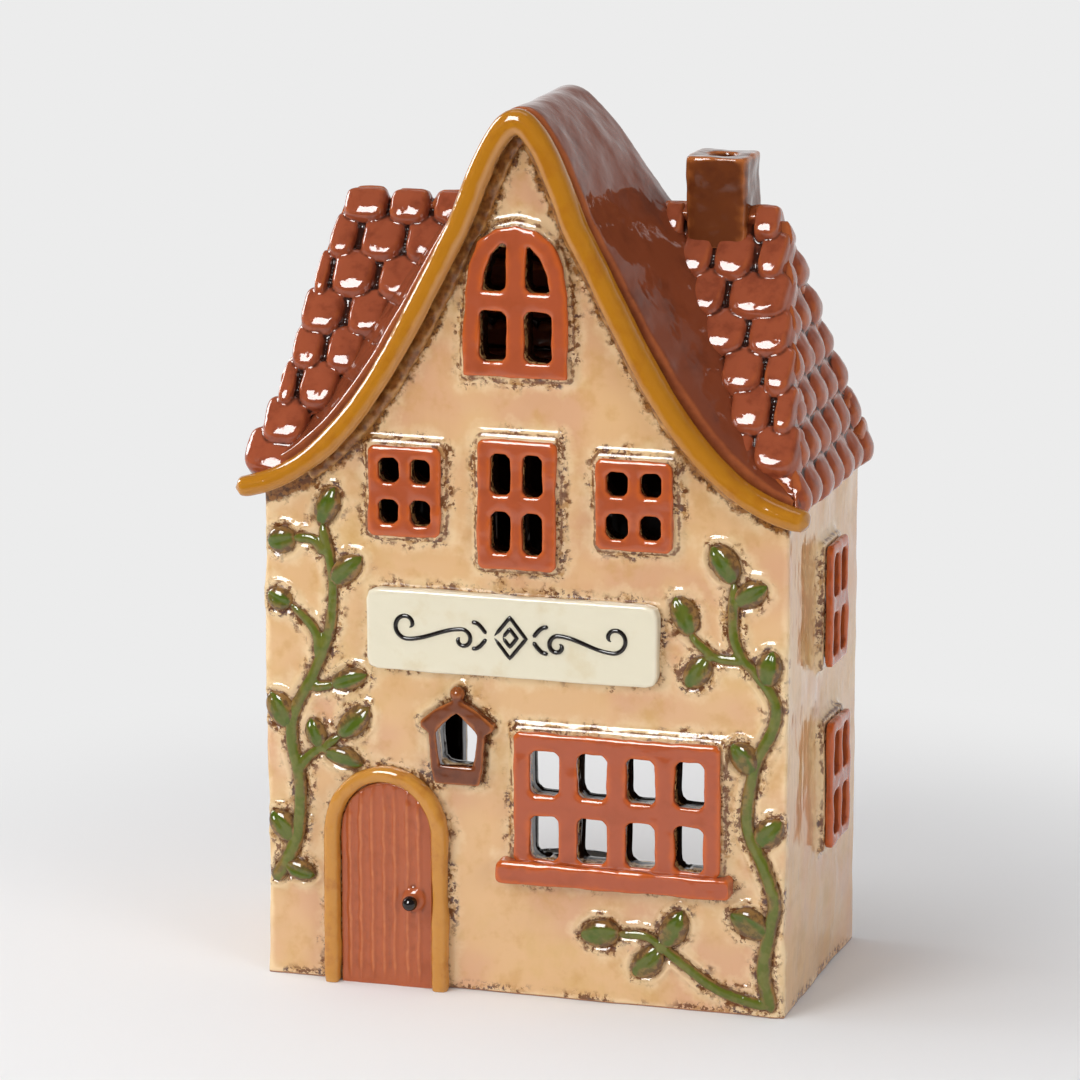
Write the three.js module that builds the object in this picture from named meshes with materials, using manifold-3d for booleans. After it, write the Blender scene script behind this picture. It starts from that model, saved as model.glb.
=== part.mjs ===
// A tealight holder in glazed stoneware: a tall town house with a swept front gable and a tiled hip roof.
// Millimetres. X runs to the right, Y to the back and Z up; the origin is under the middle of the walls.
// The clay is built from slabs. Windows, door, sign and ivy are sprigs pressed onto the walls.
import * as THREE from 'three';
import { ConvexGeometry } from 'three/addons/geometries/ConvexGeometry.js';
import { mergeVertices } from 'three/addons/utils/BufferGeometryUtils.js';
import Module from 'manifold-3d';

const wasm = await Module();
wasm.setup();

// Clearances
const SEAM = 0.3;
const MITRE_SHIFT = 0.45;

// Walls and floor
const WALL_WIDTH = 126;
const WALL_DEPTH = 68;
const WALL = 5;
const EAVES_Z = 120;
const FLOOR = 6;
const WALL_X = WALL_WIDTH / 2;
const FRONT_Y = -WALL_DEPTH / 2;
const BACK_Y = WALL_DEPTH / 2;

// Opening in the back wall
const OPENING_WIDTH = 70;
const OPENING_TOP = 80;
const OPENING_ROUND = 12;
const THRESHOLD = 15;

// Hip roof. The slabs are measured level, across the eaves.
const EAVES_OVERHANG = 2.4;
const ROOF_SEAT = 3;
const RIDGE_LENGTH = 102.4;
const ROOF_RISE = 62.6;
const ROOF_WALL = EAVES_OVERHANG + ROOF_SEAT;
const EAVES_X = WALL_X + EAVES_OVERHANG;
const EAVES_Y = BACK_Y + EAVES_OVERHANG;
const RIDGE_X = RIDGE_LENGTH / 2;
const RIDGE_Z = EAVES_Z + ROOF_RISE;

// Tiles
const TILE_PITCH = 10.8;
const TILE_COURSES = 8;
const TILE_RISE = 2.4;
const TILE_LIP = 1.8;
const TILE_LAP = 0.5;
const TILE_ROUND = 0.42;
const TILE_DEPTH = 5;

// Swept gable: the outer edge is a round crown and a long sweep that meet at the flex
const PEAK_RISE = 27.2;
const CROWN_REACH = 8.3;
const FLEX_X = 16.7;
const FLEX_DROP = 27.3;
const FLEX_SLOPE = 1.88;
const FLEX_PULL_UP = 5.5;
const FLEX_PULL_DOWN = 27.9;
const TIP_OVERHANG = 3.6;
const TIP_RISE = 0.8;
const TIP_SLOPE = 0.12;
const TIP_PULL = 26.7;
const GABLE_FLARE = 0.32;
const GABLE_OVERHANG = 6.6;
const ROOF_OVERHANG = 1;
const SHELL = 5;
const SHELL_TAPER = 0.35;
const REAR_PLATE = 5;
const REAR_DROP = 16;
const CROWN_STEPS = 4;
const SWEEP_STEPS = 8;
const GABLE_STEPS = 4;
const OUTLINE_STEP = 0.2;
const PEAK_Z = RIDGE_Z + PEAK_RISE;
const GABLE_FRONT_Y = FRONT_Y - GABLE_OVERHANG;
const ROOF_FRONT_Y = FRONT_Y - ROOF_OVERHANG;
const TIP_X = EAVES_X + TIP_OVERHANG;
const BOARD_HEIGHT = 4.6;
const BOARD_DEPTH = GABLE_OVERHANG - ROOF_OVERHANG - SEAM;
const BOARD_CHAMFER = 1.4;
const BOARD_STEPS = 32;

// Chimney
const CHIMNEY_X = 37.5;
const CHIMNEY_Y = 2.5;
const CHIMNEY_WIDTH = 14.6;
const CHIMNEY_DEPTH = 15;
const CHIMNEY_RISE = 13;
const CHIMNEY_ROUND = 2;
const FLUE_RADIUS = 3.3;
const FLUE_SIDES = 12;

// Window frames stand on a raised pad of the wall's own clay
const PAD = 1.2;
const PAD_MARGIN = 1;
const FRAME = 2;
const SIDE_PAD = 1.8;
const PANE_ROUND = 1.1;
const ARCH_STEPS = 5;
const FRONT_WINDOWS = [
  { name: 'attic_window', x: -0.9, z: EAVES_Z + 27.7, width: 24.8, height: 35.3, arch: 23,
    columns: 2, stile: 3.7, muntin: 4.3, sillRail: 3.6, transom: 4.3, headRail: 3.6 },
  { name: 'upper_left_window', x: -27.8, z: EAVES_Z - 11.1, width: 17.5, height: 21.3, arch: 0,
    columns: 2, stile: 2.4, muntin: 2.8, sillRail: 2.8, transom: 4, headRail: 2.8 },
  { name: 'upper_middle_window', x: -0.7, z: EAVES_Z - 17.3, width: 18.8, height: 30.5, arch: 0,
    columns: 2, stile: 3.1, muntin: 2.8, sillRail: 3.8, transom: 3.8, headRail: 3.2 },
  { name: 'upper_right_window', x: 27.3, z: EAVES_Z - 11, width: 18.2, height: 21.2, arch: 0,
    columns: 2, stile: 2.5, muntin: 2.9, sillRail: 2.8, transom: 4, headRail: 2.8 },
  { name: 'shop_window', x: 23.4, z: 33, width: 49.6, height: 31.5, arch: 0,
    columns: 4, stile: 3.9, muntin: 4.6, sillRail: 1.2, transom: 4.7, headRail: 4.3 },
];
const SIDE_WINDOWS = [
  { name: 'lower_window', x: 5, z: 33, width: 18, height: 30, arch: 0,
    columns: 2, stile: 2.2, muntin: 2, sillRail: 2.5, transom: 4, headRail: 2.5 },
  { name: 'upper_window', x: 2, z: 77, width: 16, height: 29, arch: 0,
    columns: 2, stile: 2, muntin: 1.8, sillRail: 2.5, transom: 4, headRail: 2.5 },
];

// Shop window sill
const SILL_WIDTH = 56.3;
const SILL_HEIGHT = 4.6;
const SILL_DEPTH = 3.8;
const SILL_SHIFT = -0.5;

// Sign plaque
const SIGN_X = -2;
const SIGN_Z = 86.9;
const SIGN_WIDTH = 70;
const SIGN_HEIGHT = 19.1;
const SIGN_DEPTH = 3.5;
const SIGN_ROUND = 2.5;

// Lantern: a small pierced house with a ball on top
const LANTERN_X = -15.3;
const LANTERN_Z = 50.7;
const LANTERN_HEIGHT = 20.5;
const LANTERN_SHOULDER = 14.2;
const LANTERN_EAVES = 8.9;
const LANTERN_TOP_HALF = 6.6;
const LANTERN_FOOT_HALF = 5.3;
const LANTERN_BAR = 2.4;
const LANTERN_CROWN_BAR = 3.8;
const LANTERN_DEPTH = 3;
const LANTERN_BALL = 1.9;
const BALL_SIDES = 10;

// Door
const DOOR_X = -33;
const DOOR_HALF = 11.4;
const DOOR_SPRING = 36.9;
const DOOR_CROWN = 12.7;
const ARCH_WIDTH = 3.8;
const ARCH_DEPTH = 4;
const DOOR_DEPTH = 1.6;
const DOOR_ARC_STEPS = 6;
const PLANKS = 8;
const PLANK_RIDGE = 0.8;
const PLANK_RIDGE_DEPTH = 0.7;
const PLANK_FOOT = 1;
const KNOB_X = -26.2;
const KNOB_Z = 21.5;
const KNOB_BOSS = 2.5;
const KNOB_BOSS_DEPTH = 1;
const KNOB_NECK = 0.9;
const KNOB_NECK_LENGTH = 0.8;
const KNOB_RADIUS = 1.8;
const KNOB_SIDES = 12;
const KNOB_STEPS = 6;

// Ivy. A point is its distance in from the wall's near edge and its height. A leaf has the two points
// of its base and its tip, and its width. Its edge bends by shares of its length and its half width.
const STEM_RADIUS = 1.3;
const BRANCH_RADIUS = 1;
const STEM_LIFT = 0.5;
const STEM_STEP = 4.5;
const STEM_SIDES = 6;
const LEAF_DEPTH = 1.2;
const LEAF_BEVEL = 0.9;
const LEAF_CURVE = [[0.1, 1.2], [0.6, 1.5]];
const LEFT_STEMS = [
  [[1.6, 23], [5, 28.5], [7.7, 36], [8.3, 47], [6.4, 58], [7.2, 65], [12.3, 75], [16.2, 86], [16.8, 98],
    [14.3, 110.5]],
];
const LEFT_BRANCHES = [
  [[15, 103], [12.2, 106.3], [7.2, 106.6]],
  [[13.4, 78], [12.4, 84.5], [6.4, 90.6]],
  [[11.3, 70.7], [17, 71.9]],
  [[8, 50.5], [11, 54.5], [18.4, 59.5]],
];
const LEFT_LEAVES = [
  [14.3, 110.9, 17.4, 119, 5.2],
  [6.9, 106.5, 1, 105, 6],
  [17.4, 96.8, 24, 103, 5.6],
  [6, 90.9, 0.9, 93.2, 5.2],
  [17.2, 72, 25, 74.8, 4.8],
  [5.3, 61.5, 1.2, 69, 6],
  [13.4, 57.2, 11.1, 63.3, 4.6],
  [18.7, 60.2, 25.4, 67, 5.6],
  [15.2, 55.3, 23.9, 52.9, 4.6],
  [6.1, 33.8, 1.2, 40, 5.6],
  [5.3, 27.3, 11.9, 25, 4.6],
];
const RIGHT_STEMS = [
  [[2.6, 1.2], [4.7, 11], [3.4, 21], [2.3, 28], [5, 36.5], [8.9, 46], [7.2, 60], [3, 69], [2.6, 75.5],
    [7.2, 82], [10.2, 85], [12.5, 91], [12.4, 103]],
];
const RIGHT_BRANCHES = [
  [[9.6, 84.5], [17, 85.2], [23.2, 90.2]],
  [[3, 2.4], [15.5, 5.8], [25, 12], [32.5, 17], [40, 17.2]],
];
const RIGHT_LEAVES = [
  [12.6, 103.4, 17.8, 111, 6],
  [11.5, 98.3, 4.8, 102.5, 5.4],
  [22.7, 90.6, 26.4, 98.6, 5.8],
  [19, 84.3, 23.6, 77.6, 5.6],
  [4.3, 79.8, 3.2, 87.4, 5.6],
  [7.9, 58.8, 12.6, 65, 6],
  [6, 41.9, 0.9, 47.4, 5.8],
  [4.6, 20.2, 12.7, 24.4, 6.4],
  [40.2, 17.4, 48.8, 16.2, 6.2],
  [28.4, 15.9, 24.3, 24, 6],
  [30, 14, 36, 7.6, 6],
];

// Tealight
const CUP_RADIUS = 19;
const CUP_HEIGHT = 16;
const CUP_WALL = 0.4;
const CUP_FIT = 0.3;
const WAX_HEIGHT = 13.6;
const CLIP_RADIUS = 8;
const CLIP_PLATE = 0.5;
const CLIP_NECK = 1.6;
const CLIP_BORE = 1;
const CLIP_HEIGHT = 4.2;
const WICK_RADIUS = 0.7;
const WICK_LENGTH = 21.5;
const TEALIGHT_Y = -3;
const ROUND_SIDES = 20;

// Colours of the glazes, the metal, the wax and the wick
const PEACH = 0xdcb98c;
const TERRACOTTA = 0xb05c3a;
const TILE_RED = 0xa05035;
const ROOF_BROWN = 0x7a3a20;
const OCHRE = 0xc8871e;
const DOOR_RED = 0xb45f41;
const ARCH_TAN = 0xbe8232;
const LEAF_GREEN = 0x4b782d;
const STEM_GREEN = 0x6e8246;
const SIGN_CREAM = 0xe4dcc3;
const LANTERN_BROWN = 0x824623;
const KNOB_BLACK = 0x14100e;
const ALUMINIUM = 0xc8c8cc;
const WAX_WHITE = 0xf4efe2;
const COTTON = 0xe8e0d0;
const GLAZE_ROUGHNESS = 0.15;

// Room that a cutting tool runs past what it cuts
const PAST = 10;

// A closed geometry becomes a solid that can be joined and cut.
function solid(geometry) {
  geometry.deleteAttribute('normal');
  geometry.deleteAttribute('uv');
  const merged = mergeVertices(geometry, 1e-4);
  const corners = merged.index.array;
  const kept = [];
  for (let i = 0; i < corners.length; i += 3) {
    const [a, b, c] = [corners[i], corners[i + 1], corners[i + 2]];
    if (a !== b && b !== c && c !== a) kept.push(a, b, c);
  }
  const vertProperties = new Float32Array(merged.attributes.position.array);
  return new wasm.Manifold(new wasm.Mesh({ numProp: 3, vertProperties, triVerts: new Uint32Array(kept) }));
}

function piece(name, body, colour, roughness = GLAZE_ROUGHNESS, metalness = 0) {
  const { vertProperties, triVerts } = body.getMesh();
  const geometry = new THREE.BufferGeometry();
  geometry.setAttribute('position', new THREE.BufferAttribute(vertProperties, 3));
  geometry.setIndex(new THREE.BufferAttribute(triVerts, 1));
  geometry.computeVertexNormals();
  const material = new THREE.MeshStandardMaterial({ color: colour, roughness, metalness });
  const mesh = new THREE.Mesh(geometry, material);
  mesh.name = name;
  return mesh;
}

function box(x0, x1, y0, y1, z0, z1) {
  const geometry = new THREE.BoxGeometry(x1 - x0, y1 - y0, z1 - z0);
  geometry.translate((x0 + x1) / 2, (y0 + y1) / 2, (z0 + z1) / 2);
  return solid(geometry);
}

// An outline drawn in X and Z, given its thickness along Y.
function plateGeometry(shape, front, back, options = {}) {
  const settings = { depth: back - front, bevelEnabled: false, curveSegments: 2, ...options };
  const geometry = new THREE.ExtrudeGeometry(shape, settings);
  geometry.rotateX(Math.PI / 2);
  geometry.translate(0, back, 0);
  return geometry;
}

function plate(shape, front, back, options) {
  return solid(plateGeometry(shape, front, back, options));
}

function joined(bodies) {
  return bodies.reduce((sum, body) => sum.add(body));
}

function roundedRectangle(x0, x1, z0, z1, round) {
  const shape = new THREE.Shape();
  shape.moveTo(x0 + round, z0);
  shape.lineTo(x1 - round, z0);
  shape.quadraticCurveTo(x1, z0, x1, z0 + round);
  shape.lineTo(x1, z1 - round);
  shape.quadraticCurveTo(x1, z1, x1 - round, z1);
  shape.lineTo(x0 + round, z1);
  shape.quadraticCurveTo(x0, z1, x0, z1 - round);
  shape.lineTo(x0, z0 + round);
  shape.quadraticCurveTo(x0, z0, x0 + round, z0);
  return shape;
}

// Straight sides up to the springing, then half an ellipse.
function archedShape(x, z0, half, spring, crown) {
  const shape = new THREE.Shape();
  shape.moveTo(x - half, z0);
  shape.lineTo(x + half, z0);
  shape.absellipse(x, spring, half, crown, 0, Math.PI);
  return shape;
}

// Gable

// The right half of the gable's outline, from the peak to the tip of the eaves. It is moved in by a
// band that thins towards the tip, and by a gap that doesn't.
function gableHalf(band, gap) {
  const flex = new THREE.Vector2(FLEX_X, PEAK_Z - FLEX_DROP);
  const tip = new THREE.Vector2(TIP_X, EAVES_Z + TIP_RISE);
  const steep = new THREE.Vector2(1, -FLEX_SLOPE).normalize();
  const shallow = new THREE.Vector2(1, -TIP_SLOPE);
  const crown = new THREE.CubicBezierCurve(
    new THREE.Vector2(0, PEAK_Z), new THREE.Vector2(CROWN_REACH, PEAK_Z),
    flex.clone().addScaledVector(steep, -FLEX_PULL_UP), flex);
  const sweep = new THREE.CubicBezierCurve(
    flex, flex.clone().addScaledVector(steep, FLEX_PULL_DOWN),
    tip.clone().addScaledVector(shallow, -TIP_PULL), tip);
  const points = [];
  const total = CROWN_STEPS + SWEEP_STEPS;
  for (let i = 0; i <= total; i += 1) {
    const [curve, t] = i < CROWN_STEPS ? [crown, i / CROWN_STEPS] : [sweep, (i - CROWN_STEPS) / SWEEP_STEPS];
    const point = curve.getPoint(t);
    const tangent = curve.getTangent(t);
    const inset = band * (1 - SHELL_TAPER * i / total) + gap;
    const x = point.x + tangent.y * inset;
    points.push(new THREE.Vector2(i === 0 ? 0 : Math.max(x, OUTLINE_STEP * i), point.y - tangent.x * inset));
  }
  return points;
}

// The roof spreads as it runs back from the bargeboard, more at the foot than at the peak.
function flared(x, z, y) {
  const run = (y - GABLE_FRONT_Y) / -GABLE_FRONT_Y;
  return x + Math.sign(x) * GABLE_FLARE * (PEAK_Z - z) * run;
}

function gableOutline(band, gap, foot, y = GABLE_FRONT_Y) {
  const half = gableHalf(band, gap);
  const right = half.map((p) => new THREE.Vector2(flared(p.x, p.y, y), p.y));
  const left = right.slice(1).reverse().map((p) => new THREE.Vector2(-p.x, p.y));
  const outer = right[right.length - 1].x;
  return [...left, ...right, new THREE.Vector2(outer, foot), new THREE.Vector2(-outer, foot)];
}

// All that lies under the gable's outline, from the bargeboard's face back to the main ridge.
function underGable(band, gap) {
  const shape = new THREE.Shape(gableOutline(band, gap, -PAST));
  const geometry = plateGeometry(shape, GABLE_FRONT_Y, 0, { steps: GABLE_STEPS });
  const position = geometry.attributes.position;
  for (let i = 0; i < position.count; i += 1) {
    position.setX(i, flared(position.getX(i), position.getZ(i), position.getY(i)));
  }
  return solid(geometry);
}

// Hip roof

function roofHalfX(inset, z) {
  return EAVES_X - inset - (z - EAVES_Z) * (EAVES_X - RIDGE_X) / ROOF_RISE;
}

function roofHalfY(inset, z) {
  return EAVES_Y - inset - (z - EAVES_Z) * EAVES_Y / ROOF_RISE;
}

function ridgeHeight(inset) {
  return EAVES_Z + (EAVES_Y - inset) * ROOF_RISE / EAVES_Y;
}

// The corners of one slope's surface, moved level into the roof by the inset.
function slopeCorners(side, inset, foot) {
  const x = roofHalfX(inset, foot);
  const y = roofHalfY(inset, foot);
  const ridge = ridgeHeight(inset);
  const ridgeX = roofHalfX(inset, ridge);
  const corners = {
    front: [[-x, -y, foot], [x, -y, foot], [ridgeX, 0, ridge], [-ridgeX, 0, ridge]],
    back: [[-x, y, foot], [x, y, foot], [ridgeX, 0, ridge], [-ridgeX, 0, ridge]],
    right: [[x, -y, foot], [x, y, foot], [ridgeX, 0, ridge]],
    left: [[-x, -y, foot], [-x, y, foot], [-ridgeX, 0, ridge]],
  };
  return corners[side].map((corner) => new THREE.Vector3(...corner));
}

function slopeSlab(side, outer, inner, foot = EAVES_Z) {
  return solid(new ConvexGeometry([...slopeCorners(side, outer, foot), ...slopeCorners(side, inner, foot)]));
}

function roofBulk(inset) {
  return solid(new ConvexGeometry([
    ...slopeCorners('front', inset, EAVES_Z), ...slopeCorners('back', inset, EAVES_Z)]));
}

// A slope's own axes: along the eaves, up the slope and out of it.
function slopeFrame(side) {
  const runs = { front: [0, 1], back: [0, -1], right: [-1, 0], left: [1, 0] };
  const [runX, runY] = runs[side];
  const up = new THREE.Vector3(runX * (EAVES_X - RIDGE_X), runY * EAVES_Y, ROOF_RISE);
  const length = up.length();
  up.normalize();
  const along = new THREE.Vector3(runY, -runX, 0);
  const out = new THREE.Vector3().crossVectors(along, up);
  const matrix = new THREE.Matrix4().makeBasis(along, up, out);
  matrix.setPosition(-runX * EAVES_X, -runY * EAVES_Y, EAVES_Z);
  return { matrix, length };
}

// One course of tiles: scalloped along its lower edge, thick there, and thinning up under the next.
function courseGeometry(course, count, stagger) {
  const round = course * TILE_ROUND;
  const half = TILE_PITCH / 2;
  const shape = new THREE.Shape();
  shape.moveTo((stagger - count) * TILE_PITCH - half, round);
  for (let i = -count; i <= count; i += 1) {
    shape.absellipse((i + stagger) * TILE_PITCH, round, half, round, Math.PI, 2 * Math.PI);
  }
  shape.lineTo((stagger + count) * TILE_PITCH + half, course + round + TILE_LAP);
  shape.lineTo((stagger - count) * TILE_PITCH - half, course + round + TILE_LAP);
  const settings = { depth: TILE_DEPTH, bevelEnabled: false, curveSegments: 2 };
  const geometry = new THREE.ExtrudeGeometry(shape, settings);
  geometry.rotateX(-Math.atan2(TILE_LIP, course));
  geometry.translate(0, 0, TILE_RISE - TILE_DEPTH);
  return geometry;
}

function tiledSlope(side) {
  const { matrix, length } = slopeFrame(side);
  const course = length / TILE_COURSES;
  const wide = side === 'front' || side === 'back';
  const [foot, head] = wide ? [EAVES_X, RIDGE_X] : [EAVES_Y, 0];
  const courses = [];
  for (let row = 0; row < TILE_COURSES; row += 1) {
    const reach = foot + (head - foot) * row / TILE_COURSES;
    const stagger = (TILE_COURSES - row) % 2 === 0 ? 0 : 0.5;
    const geometry = courseGeometry(course, Math.ceil(reach / TILE_PITCH) + 1, stagger);
    geometry.translate(0, row * course, 0);
    geometry.applyMatrix4(matrix);
    courses.push(solid(geometry));
  }
  const room = slopeSlab(side, -2 * TILE_RISE, ROOF_WALL / 2);
  return joined(courses).intersect(room).add(slopeSlab(side, 0, ROOF_WALL));
}

// Room in the tiles of the front or back slope, from x0 to x1 and from the given level distance up to the
// ridge. Its sides stand square to the slope, and its floor lies a seam deep.
function tileRoom(side, x0, x1, reach) {
  const outward = side === 'front' ? -1 : 1;
  const out = new THREE.Vector3(0, outward * ROOF_RISE, EAVES_Y).normalize();
  const points = [];
  for (const x of [x0, x1]) {
    for (const y of [reach, -PAST]) {
      const onSlope = new THREE.Vector3(x, outward * y, RIDGE_Z - y * ROOF_RISE / EAVES_Y);
      points.push(onSlope.clone().addScaledVector(out, -SEAM));
      points.push(onSlope.clone().addScaledVector(out, 2 * TILE_RISE));
    }
  }
  return solid(new ConvexGeometry(points));
}

// The plate that closes the gable roof behind the ridge, with its foot still uncut.
function rearGable(gap, depth) {
  const shape = new THREE.Shape(gableOutline(0, gap, -PAST, 0));
  const across = EAVES_X + PAST;
  const room = box(-across, across, 0, depth, RIDGE_Z - REAR_DROP, PEAK_Z + PAST);
  return plate(shape, 0, depth + PAST).intersect(room);
}

// The room that both hip ends take up above the given foot.
function hipRoom(foot) {
  return joined(['left', 'right'].map((name) => slopeSlab(name, -PAST, ROOF_WALL + SEAM, foot)));
}

// Chimney

function chimneyBlock() {
  const halfX = CHIMNEY_WIDTH / 2;
  const halfY = CHIMNEY_DEPTH / 2;
  const shape = roundedRectangle(
    CHIMNEY_X - halfX, CHIMNEY_X + halfX, CHIMNEY_Y - halfY, CHIMNEY_Y + halfY, CHIMNEY_ROUND);
  const foot = RIDGE_Z - ROOF_RISE / 2;
  const height = RIDGE_Z + CHIMNEY_RISE - foot;
  const geometry = new THREE.ExtrudeGeometry(shape, { depth: height, bevelEnabled: false, curveSegments: 2 });
  geometry.translate(0, 0, foot);
  return solid(geometry);
}

function flue() {
  const geometry = new THREE.CylinderGeometry(FLUE_RADIUS, FLUE_RADIUS, 2 * ROOF_RISE, FLUE_SIDES);
  geometry.rotateX(Math.PI / 2);
  geometry.translate(CHIMNEY_X, CHIMNEY_Y, RIDGE_Z);
  return solid(geometry);
}

// Windows. Each is drawn on a wall whose face is the plane Y = 0, with the outside at -Y.

function windowOutline(spec, margin) {
  const half = spec.width / 2 + margin;
  if (spec.arch > 0) {
    return archedShape(spec.x, spec.z - margin, half, spec.z + spec.height - spec.arch, spec.arch + margin);
  }
  const top = spec.z + spec.height + margin;
  return roundedRectangle(spec.x - half, spec.x + half, spec.z - margin, top, PANE_ROUND);
}

function windowPanes(spec) {
  const rows = 2;
  const clearWidth = spec.width - 2 * spec.stile - (spec.columns - 1) * spec.muntin;
  const clearHeight = spec.height - spec.sillRail - spec.headRail - (rows - 1) * spec.transom;
  const paneWidth = clearWidth / spec.columns;
  const paneHeight = clearHeight / rows;
  const panes = [];
  for (let column = 0; column < spec.columns; column += 1) {
    const x0 = spec.x - spec.width / 2 + spec.stile + column * (paneWidth + spec.muntin);
    for (let row = 0; row < rows; row += 1) {
      const z0 = spec.z + spec.sillRail + row * (paneHeight + spec.transom);
      const shape = roundedRectangle(x0, x0 + paneWidth, z0, z0 + paneHeight, PANE_ROUND);
      panes.push(plate(shape, -PAST, PAST, { curveSegments: 1 }));
    }
  }
  const all = joined(panes);
  if (spec.arch === 0) return all;
  const inner = archedShape(spec.x, spec.z, spec.width / 2 - spec.stile,
    spec.z + spec.height - spec.arch, spec.arch - spec.headRail);
  return all.intersect(plate(inner, -PAST, PAST, { curveSegments: ARCH_STEPS }));
}

function windowArc(spec) {
  return { curveSegments: spec.arch > 0 ? ARCH_STEPS : 1 };
}

function windowPad(spec, pad) {
  return plate(windowOutline(spec, PAD_MARGIN), -pad, WALL / 2, windowArc(spec));
}

function windowFrame(spec, pad) {
  const body = plate(windowOutline(spec, 0), -pad - FRAME, -pad, windowArc(spec));
  return body.subtract(windowPanes(spec));
}

function withWindows(wall, specs, pad) {
  const padded = joined([wall, ...specs.map((spec) => windowPad(spec, pad))]);
  return padded.subtract(joined(specs.map(windowPanes)));
}

// Lantern

function lanternOutline() {
  const shape = new THREE.Shape();
  const shoulder = LANTERN_Z + LANTERN_SHOULDER;
  shape.moveTo(LANTERN_X - LANTERN_FOOT_HALF, LANTERN_Z);
  shape.lineTo(LANTERN_X + LANTERN_FOOT_HALF, LANTERN_Z);
  shape.lineTo(LANTERN_X + LANTERN_TOP_HALF, shoulder - LANTERN_BAR);
  shape.lineTo(LANTERN_X + LANTERN_EAVES, shoulder - LANTERN_BAR / 2);
  shape.lineTo(LANTERN_X + LANTERN_EAVES, shoulder);
  shape.lineTo(LANTERN_X, LANTERN_Z + LANTERN_HEIGHT);
  shape.lineTo(LANTERN_X - LANTERN_EAVES, shoulder);
  shape.lineTo(LANTERN_X - LANTERN_EAVES, shoulder - LANTERN_BAR / 2);
  shape.lineTo(LANTERN_X - LANTERN_TOP_HALF, shoulder - LANTERN_BAR);
  return shape;
}

function lanternPane() {
  const shape = new THREE.Shape();
  const shoulder = LANTERN_Z + LANTERN_SHOULDER - LANTERN_BAR;
  shape.moveTo(LANTERN_X - LANTERN_FOOT_HALF + LANTERN_BAR, LANTERN_Z + 2 * LANTERN_BAR);
  shape.lineTo(LANTERN_X + LANTERN_FOOT_HALF - LANTERN_BAR, LANTERN_Z + 2 * LANTERN_BAR);
  shape.lineTo(LANTERN_X + LANTERN_TOP_HALF - LANTERN_BAR, shoulder);
  shape.lineTo(LANTERN_X, LANTERN_Z + LANTERN_HEIGHT - LANTERN_CROWN_BAR);
  shape.lineTo(LANTERN_X - LANTERN_TOP_HALF + LANTERN_BAR, shoulder);
  return plate(shape, -PAST, PAST);
}

function lanternFrame() {
  const ball = new THREE.SphereGeometry(LANTERN_BALL, BALL_SIDES, BALL_SIDES / 2);
  ball.translate(LANTERN_X, -LANTERN_BALL + SEAM, LANTERN_Z + LANTERN_HEIGHT + LANTERN_BALL / 2);
  const outside = box(-WALL_X, WALL_X, -PAST, 0, 0, EAVES_Z);
  const frame = plate(lanternOutline(), -LANTERN_DEPTH, 0).subtract(lanternPane());
  return frame.add(solid(ball).intersect(outside));
}

// Door

function doorArch() {
  const outer = archedShape(DOOR_X, 0, DOOR_HALF + ARCH_WIDTH, DOOR_SPRING, DOOR_CROWN + ARCH_WIDTH);
  const inner = archedShape(DOOR_X, -PAST, DOOR_HALF, DOOR_SPRING, DOOR_CROWN);
  const arc = { curveSegments: DOOR_ARC_STEPS };
  const band = plate(outer, FRONT_Y - ARCH_DEPTH, FRONT_Y, arc);
  return band.subtract(plate(inner, FRONT_Y - PAST, FRONT_Y + PAST, arc));
}

function doorPanel() {
  const shape = archedShape(DOOR_X, 0, DOOR_HALF - SEAM, DOOR_SPRING, DOOR_CROWN - SEAM);
  const face = FRONT_Y - DOOR_DEPTH;
  const ridges = [];
  for (let i = 1; i < PLANKS; i += 1) {
    const x = DOOR_X - DOOR_HALF + 2 * DOOR_HALF * i / PLANKS;
    const half = PLANK_RIDGE / 2;
    const [front, back] = [face - PLANK_RIDGE_DEPTH, face + DOOR_DEPTH / 2];
    ridges.push(box(x - half, x + half, front, back, PLANK_FOOT, DOOR_SPRING + DOOR_CROWN));
  }
  const arc = { curveSegments: DOOR_ARC_STEPS };
  const within = plate(shape, FRONT_Y - PAST, FRONT_Y, arc);
  const boss = new THREE.CylinderGeometry(KNOB_BOSS, KNOB_BOSS, DOOR_DEPTH + KNOB_BOSS_DEPTH, KNOB_SIDES);
  boss.translate(KNOB_X, FRONT_Y - (DOOR_DEPTH + KNOB_BOSS_DEPTH) / 2, KNOB_Z);
  const panel = plate(shape, face, FRONT_Y, arc);
  return panel.add(joined(ridges).intersect(within)).add(solid(boss));
}

function doorKnob() {
  const profile = [new THREE.Vector2(0, 0), new THREE.Vector2(KNOB_NECK, 0)];
  const start = -Math.acos(KNOB_NECK / KNOB_RADIUS);
  const centre = KNOB_NECK_LENGTH - KNOB_RADIUS * Math.sin(start);
  for (let i = 0; i < KNOB_STEPS; i += 1) {
    const angle = start + (Math.PI / 2 - start) * i / KNOB_STEPS;
    profile.push(new THREE.Vector2(KNOB_RADIUS * Math.cos(angle), centre + KNOB_RADIUS * Math.sin(angle)));
  }
  profile.push(new THREE.Vector2(0, centre + KNOB_RADIUS));
  const geometry = new THREE.LatheGeometry(profile, KNOB_SIDES);
  geometry.rotateX(Math.PI);
  geometry.translate(KNOB_X, FRONT_Y - DOOR_DEPTH - KNOB_BOSS_DEPTH, KNOB_Z);
  return solid(geometry);
}

// Bargeboard

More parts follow.
